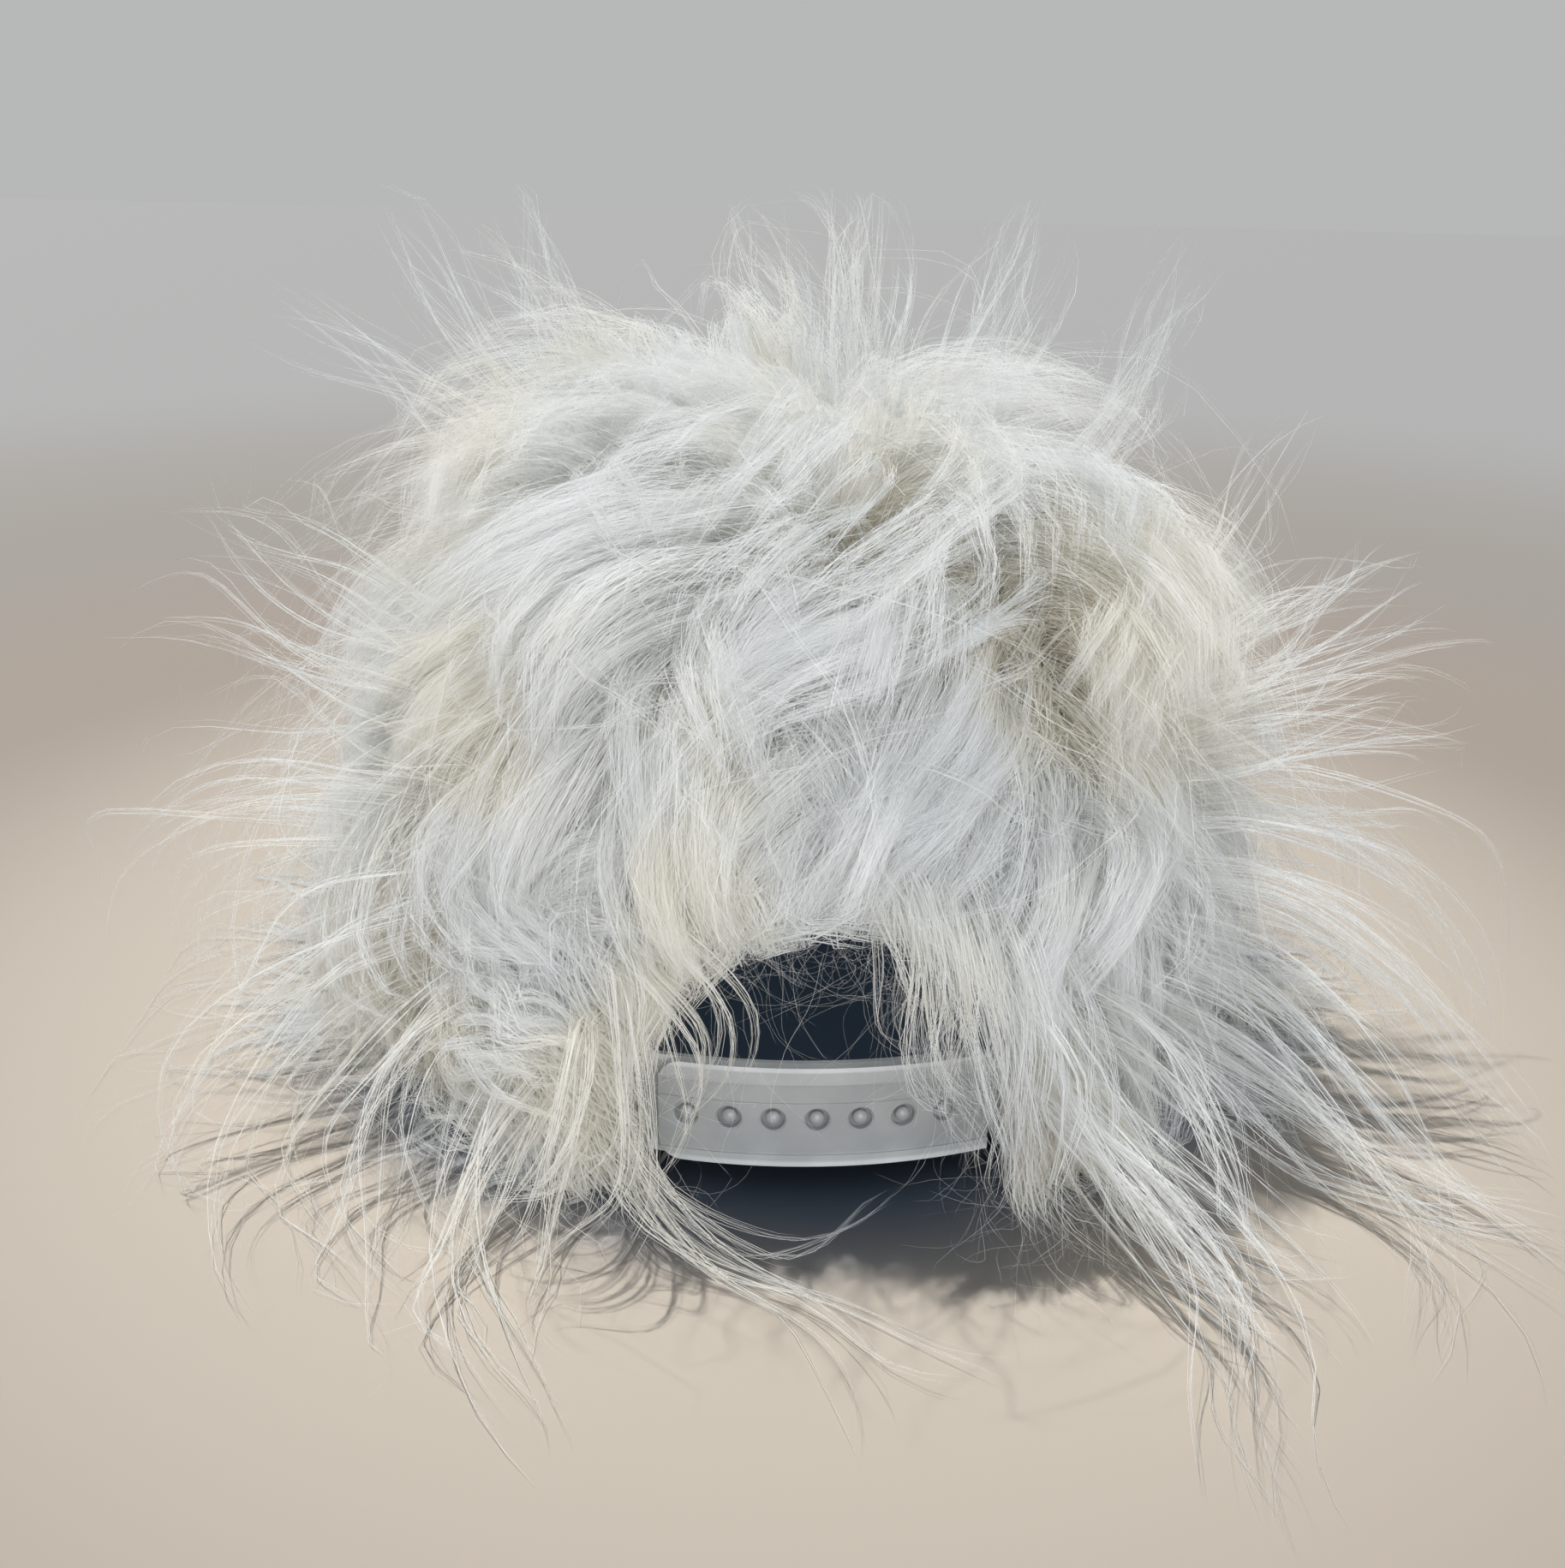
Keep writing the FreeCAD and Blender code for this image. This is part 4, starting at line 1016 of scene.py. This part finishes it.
OPENING_LOCKS = (
    (130, 5, 0.9, 3, (40, -92, 26), (47, -108, 21), (60, -124, 14), (67, -142, 8),
                     (64, -158, 3), (65, -178, 1)),
    (110, 6, 0.9, 3, (46, -90, 24), (56, -108, 18), (70, -122, 8), (80, -136, 2), (80, -148, 1)),
    (90, 5, 0.88, 3, (42, -92, 34), (46, -108, 30), (56, -118, 18), (66, -128, 6), (80, -134, 1)),
    (90, 5, 0.88, 3, (50, -88, 40), (62, -104, 38), (72, -116, 24), (78, -124, 8), (90, -128, 1)),
    (30, 2, 0.8, 1.6, (-37, -97, 20), (-34, -108, 18), (-25, -116, 10), (-8, -118, 2),
                      (6, -114, 1), (18, -106, 2)),
    (27, 2, 0.85, 1.6, (-37, -98, 16), (-33, -112, 12), (-22, -122, 4), (-8, -134, 1),
                       (0, -152, 1), (2, -165, 1)),
    (27, 2, 0.85, 1.6, (-38, -98, 12), (-31, -114, 8), (-16, -124, 2), (0, -130, 1),
                       (16, -142, 1), (30, -150, 1)),
    (30, 2, 0.75, 1.2, (-38, -94, 61), (-27, -106, 60), (-18, -111, 52), (-17, -110, 42),
                       (-20, -107, 32), (-28, -106, 22)),
    (27, 2, 0.8, 1.2, (-39, -94, 56), (-31, -105, 54), (-23, -109, 46), (-22, -108, 36),
                      (-26, -106, 24), (-32, -107, 12)),
    (63, 4, 0.85, 2.4, (-39, -92, 50), (-35, -106, 50), (-34, -113, 38), (-37, -112, 24), (-46, -112, 10)),
    (63, 4, 0.85, 2.4, (-42, -92, 38), (-42, -106, 36), (-44, -114, 26), (-50, -118, 12), (-60, -120, 2)),
)
CURTAIN = (
    (54, 3, 0.75, 2.9, (8, -88, 71), (10, -104, 67), (12, -110, 57), (14, -111, 48),
                       (18, -109, 40), (22, -108, 34)),
    (117, 4, 0.75, 3.3, (14, -88, 68), (16, -106, 66), (18, -113, 56), (20, -113, 42),
                        (24, -111, 28), (28, -110, 14)),
    (135, 4.5, 0.75, 3.3, (22, -88, 65), (24, -106, 63), (26, -113, 52), (28, -113, 38),
                          (31, -111, 22), (33, -110, 9)),
    (135, 4.5, 0.75, 3.3, (29, -88, 60), (32, -106, 57), (34, -113, 46), (36, -113, 30),
                          (39, -111, 15), (42, -110, 3)),
    (117, 4.5, 0.75, 3.3, (34, -86, 56), (38, -104, 52), (42, -113, 42), (44, -114, 28),
                          (48, -114, 14), (52, -114, 2)),
    (54, 3, 0.8, 3, (18, -88, 67), (20, -104, 64), (23, -111, 54), (25, -111, 40),
                    (24, -109, 30), (28, -108, 20)),
)
LOCK_STEPS = 13
STRANDS_A_STRING = 9
STRING_SPREAD = 1.7 * MM
FAN_AT_ROOT = 0.7             # spread of a bunch's strings, as a share of the lock's own spread
FAN_AT_TOP_TIPS = 0.35        # the same at the tips
FAN_AT_SIDE_TIPS = 0.9
FAN_AT_LOW_TIPS = 1.3


def placed_strands(locks, fan_at_tip, seed):
    """Each listed lock as a loose bunch of thin stringy ones with their own bends and lengths."""
    groups = []
    s = np.linspace(0, 1, LOCK_STEPS)
    for i, (count, spread, gather, stray, *points) in enumerate(locks):
        rng = np.random.default_rng(seed + i)
        path = along_spline(np.array(points, float) * MM, LOCK_STEPS)
        bunch = max(count // STRANDS_A_STRING, 2)
        fan_share = FAN_AT_ROOT + (fan_at_tip - FAN_AT_ROOT) * s
        fan = rng.normal(0, 1, (bunch, 1, 3)) * spread * fan_share[:, None]
        phase = rng.uniform(0, TAU, (bunch, 1, 3))
        turns = rng.uniform(0.5, 1.6, (bunch, 1, 1))
        bend = 1.5 * stray * s[:, None] * np.sin(TAU * turns * s[:, None] + phase)
        strings = path + (fan + bend) * MM
        outside = strings[:, 0, 2] > RIM_Z
        strings[outside, 0] = onto_crown(strings[outside, 0])
        groups.append(fill_locks(strings, STRANDS_A_STRING, STRING_SPREAD, gather, stray * MM,
                                 seed + i, 0.5))
    return np.concatenate(groups)


def grow_placed_locks(made):
    strands = np.concatenate((placed_strands(TOP_TUFTS, FAN_AT_TOP_TIPS, 500),
                              placed_strands(SIDE_LOCKS, FAN_AT_SIDE_TIPS, 530),
                              placed_strands(OPENING_LOCKS, FAN_AT_LOW_TIPS, 560)))
    pile_pieces("locks", above_table(keep_in_reach(strands)), 520, made)


def curtain():
    """Hair that hangs over the strap's right end."""
    strands = above_table(placed_strands(CURTAIN, FAN_AT_SIDE_TIPS, 600))
    piece = ribbon_mesh("pile_curtain", strands, RIBBONS["curtain"], tone_of(strands[:, 0], 601), 602)
    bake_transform(piece)


def curly(start, heading, pull, length, rng):
    """Fine hairs that wander as they grow, drawn towards pull."""
    steps = 13
    heading = unit(heading)
    points = [start]
    bend = rng.normal(0, 1.0, start.shape)
    for _ in range(steps - 1):
        bend = 0.85 * bend + 0.5 * rng.normal(0, 1.0, start.shape)
        heading = unit(heading + 0.30 * bend + 0.12 * pull)
        points.append(points[-1] + heading * (1.3 * length / (steps - 1))[:, None])
    return np.stack(points, 1)


def arch_fuzz(count, shortest, longest, rng):
    """Hairs that start in the pile at the arch's edge and curl into the opening."""
    turn = np.clip(rng.normal(0.15, 0.85, count), -1.7, 1.7)
    edge = rng.uniform(30.0, 37.0, count) * MM
    x = edge * np.sin(turn)
    z = np.maximum(ARCH_SPRING_Z + edge * np.cos(turn), 8 * MM)
    reach = np.sqrt(radius_share(z, 0.0) ** 2 - (x / CROWN[0]) ** 2)
    start = np.stack((x, -CROWN[1] * reach - rng.uniform(1, 14, count) * MM, z), -1)
    inward = np.stack((-np.sin(turn) * 0.7, rng.normal(0, 0.3, count), np.full(count, -0.75)), -1)
    hairs = curly(start, inward + rng.normal(0, 0.5, (count, 3)), inward,
                  rng.uniform(shortest, longest, count) * MM, rng)
    clear_of_strap = -103 * MM + 0.35 * np.maximum(hairs[..., 2] - 30 * MM, 0)
    hairs[..., 1] = np.minimum(hairs[..., 1], clear_of_strap)
    return hairs


def spray(count, middle, rng):
    """Hairs that fan out from beside a strap's end, down to the table."""
    start = (np.array(middle) + rng.normal(0, 1, (count, 3)) * (7.0, 3.0, 2.5)) * MM
    outward = np.array((0.0, -0.9, -0.55)) + rng.normal(0, 0.45, (count, 3))
    return curly(start, outward, np.array((0.0, -0.5, -0.4)), rng.uniform(12, 30, count) * MM, rng)


def frizz(made):
    """Fine curly hairs: short and longer ones at the arch's edge, and sprays under the straps' ends."""
    rng = np.random.default_rng(701)
    strands = np.concatenate((arch_fuzz(120, 5.0, 15.0, rng),
                              arch_fuzz(150, 14.0, 34.0, rng),
                              spray(90, (43.5, -111.0, 9.0), rng),
                              spray(34, (-34.0, -108.0, 9.0), rng)))
    pile_pieces("frizz", above_table(strands), 720, made)


# ---- build the pieces
dress_cad_nodes()
pile = {}
density = 1.0
grow_guard_hair(density, pile)
grow_wool(density, pile)
grow_flyaways(pile)
grow_placed_locks(pile)
frizz(pile)
curtain()
for panel, pieces in pile.items():
    for piece in pieces:
        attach(piece, "crown")
    start = 0.7 * MM if panel.startswith("front") else 0.1 * MM
    crown_sheet("cloth_backing_" + panel, panel, start + 0.9 * MM, start + 0.1 * MM, 0.0, KNIT,
                "long_pile", "fur_" + panel)
    crown_sheet("cloth_lining_" + panel, panel, -0.1 * MM, -0.6 * MM, 0.35 * MM, LINING,
                "navy_lining", "lining_" + panel)
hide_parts("fur_trailing_lock")
sew(sweatband_sheet())
strap_bend("strap_bend_outer", 1.0, -2.7 * MM)
strap_bend("strap_bend_inner", -1.0, -4.3 * MM)


# ---- stage, light and camera
def stage():
    """A pale floor with a painted shadow under the cap, cooler and darker there, and a faint painted glow
    inside it.
    """
    look = Look("floor_painted_shadow_and_glow")
    # the stops below are metres from the cap's centre; the first is a painted shadow, dark and cool under
    # the cap, and further out the floor is lightest and warmest round the cap and darker and greyer far
    # off
    away = look.add("VectorMath", "Value", {0: look.place}, operation="LENGTH")
    tone = look.ramp(away, ((0.100, (0.085, 0.110, 0.150)), (0.134, (0.345, 0.308, 0.262)),
                            (0.30, (0.220, 0.187, 0.158)), (0.50, (0.206, 0.190, 0.172)),
                            (1.0, (0.238, 0.240, 0.239))))
    # painted light: the floor glows faintly under the cap, to lift the shade seen through the opening
    inside = look.ramp(away, ((0.060, (0.010, 0.016, 0.024)), (0.088, grey(0.0))))
    look.shade({"Base Color": tone, "Roughness": 0.8, "Emission Color": inside, "Emission Strength": 1.0})
    size = 4.0
    corners = [(-size, -size, 0), (size, -size, 0), (size, size, 0), (-size, size, 0)]
    mesh = bpy.data.meshes.new("floor")
    mesh.from_pydata(corners, [], [(0, 1, 2, 3)])
    mesh.materials.append(look.material)
    floor = add_object("floor", mesh)
    return floor


def add_light(name, kind, strength, colour, toward, receivers):
    """A light that lights only the given objects; everything still casts its shadow."""
    data = bpy.data.lights.new(name, kind)
    data.energy = strength
    data.color = colour
    light = add_object(name, data)
    light.rotation_euler = toward.to_track_quat("-Z", "Y").to_euler()
    lit = bpy.data.collections.new(name + "_receivers")
    for piece in receivers:
        lit.objects.link(piece)
    light.light_linking.receiver_collection = lit
    return light


def lights(floor):
    pieces = [piece for piece in bpy.context.scene.objects if piece.type == "MESH" and piece != floor]
    for name, strength, receivers in (("window_on_cap", 2.35, pieces), ("window_on_floor", 5.0, [floor])):
        sun = add_light(name, "SUN", strength, (1.0, 0.97, 0.93), Vector((0.26, -0.22, -1.0)), receivers)
        sun.data.angle = math.radians(1.2)
    place = Vector((0.10, -1.05, 0.50))
    aim = Vector((0.0, 0.0, 0.06))
    fill = add_light("fill", "AREA", 10.0, (0.94, 0.97, 1.0), aim - place, pieces)
    fill.location = place
    fill.data.shape = "DISK"
    fill.data.size = 1.2


def sky():
    """A grey-blue surround, lightest near the horizon."""
    world = bpy.data.worlds.new("studio")
    world.use_nodes = True
    nodes = Nodes(world.node_tree)
    up = nodes.add("SeparateXYZ", "Z", {0: nodes.add("TexCoord", "Generated", {})})
    tone = nodes.ramp(up, ((0.09, (0.95, 0.955, 0.96)), (0.45, (0.60, 0.66, 0.74)),
                           (1.0, (0.36, 0.46, 0.60))))
    back = world.node_tree.nodes["Background"]
    nodes.feed(back.inputs["Color"], tone)
    nodes.feed(back.inputs["Strength"], 0.50)
    bpy.context.scene.world = world


def camera():
    data = bpy.data.cameras.new("camera")
    data.sensor_width = 36.0
    data.lens = 34.6
    cam = add_object("camera", data)
    pitch, yaw, roll = math.radians(23.1), math.radians(3.8), math.radians(1.6)
    ahead = Vector((math.sin(yaw) * math.cos(pitch), math.cos(yaw) * math.cos(pitch), -math.sin(pitch)))
    cam.location = (-0.0244, -0.3386, 0.1895)
    cam.rotation_euler = ahead.to_track_quat("-Z", "Y").to_euler()
    cam.rotation_euler.rotate_axis("Z", roll)
    bpy.context.scene.camera = cam


lights(stage())
sky()
camera()
scene = bpy.context.scene
scene.view_settings.view_transform = "Standard"
scene.view_settings.look = "None"
scene.cycles.max_bounces = 12
scene.cycles.diffuse_bounces = 8
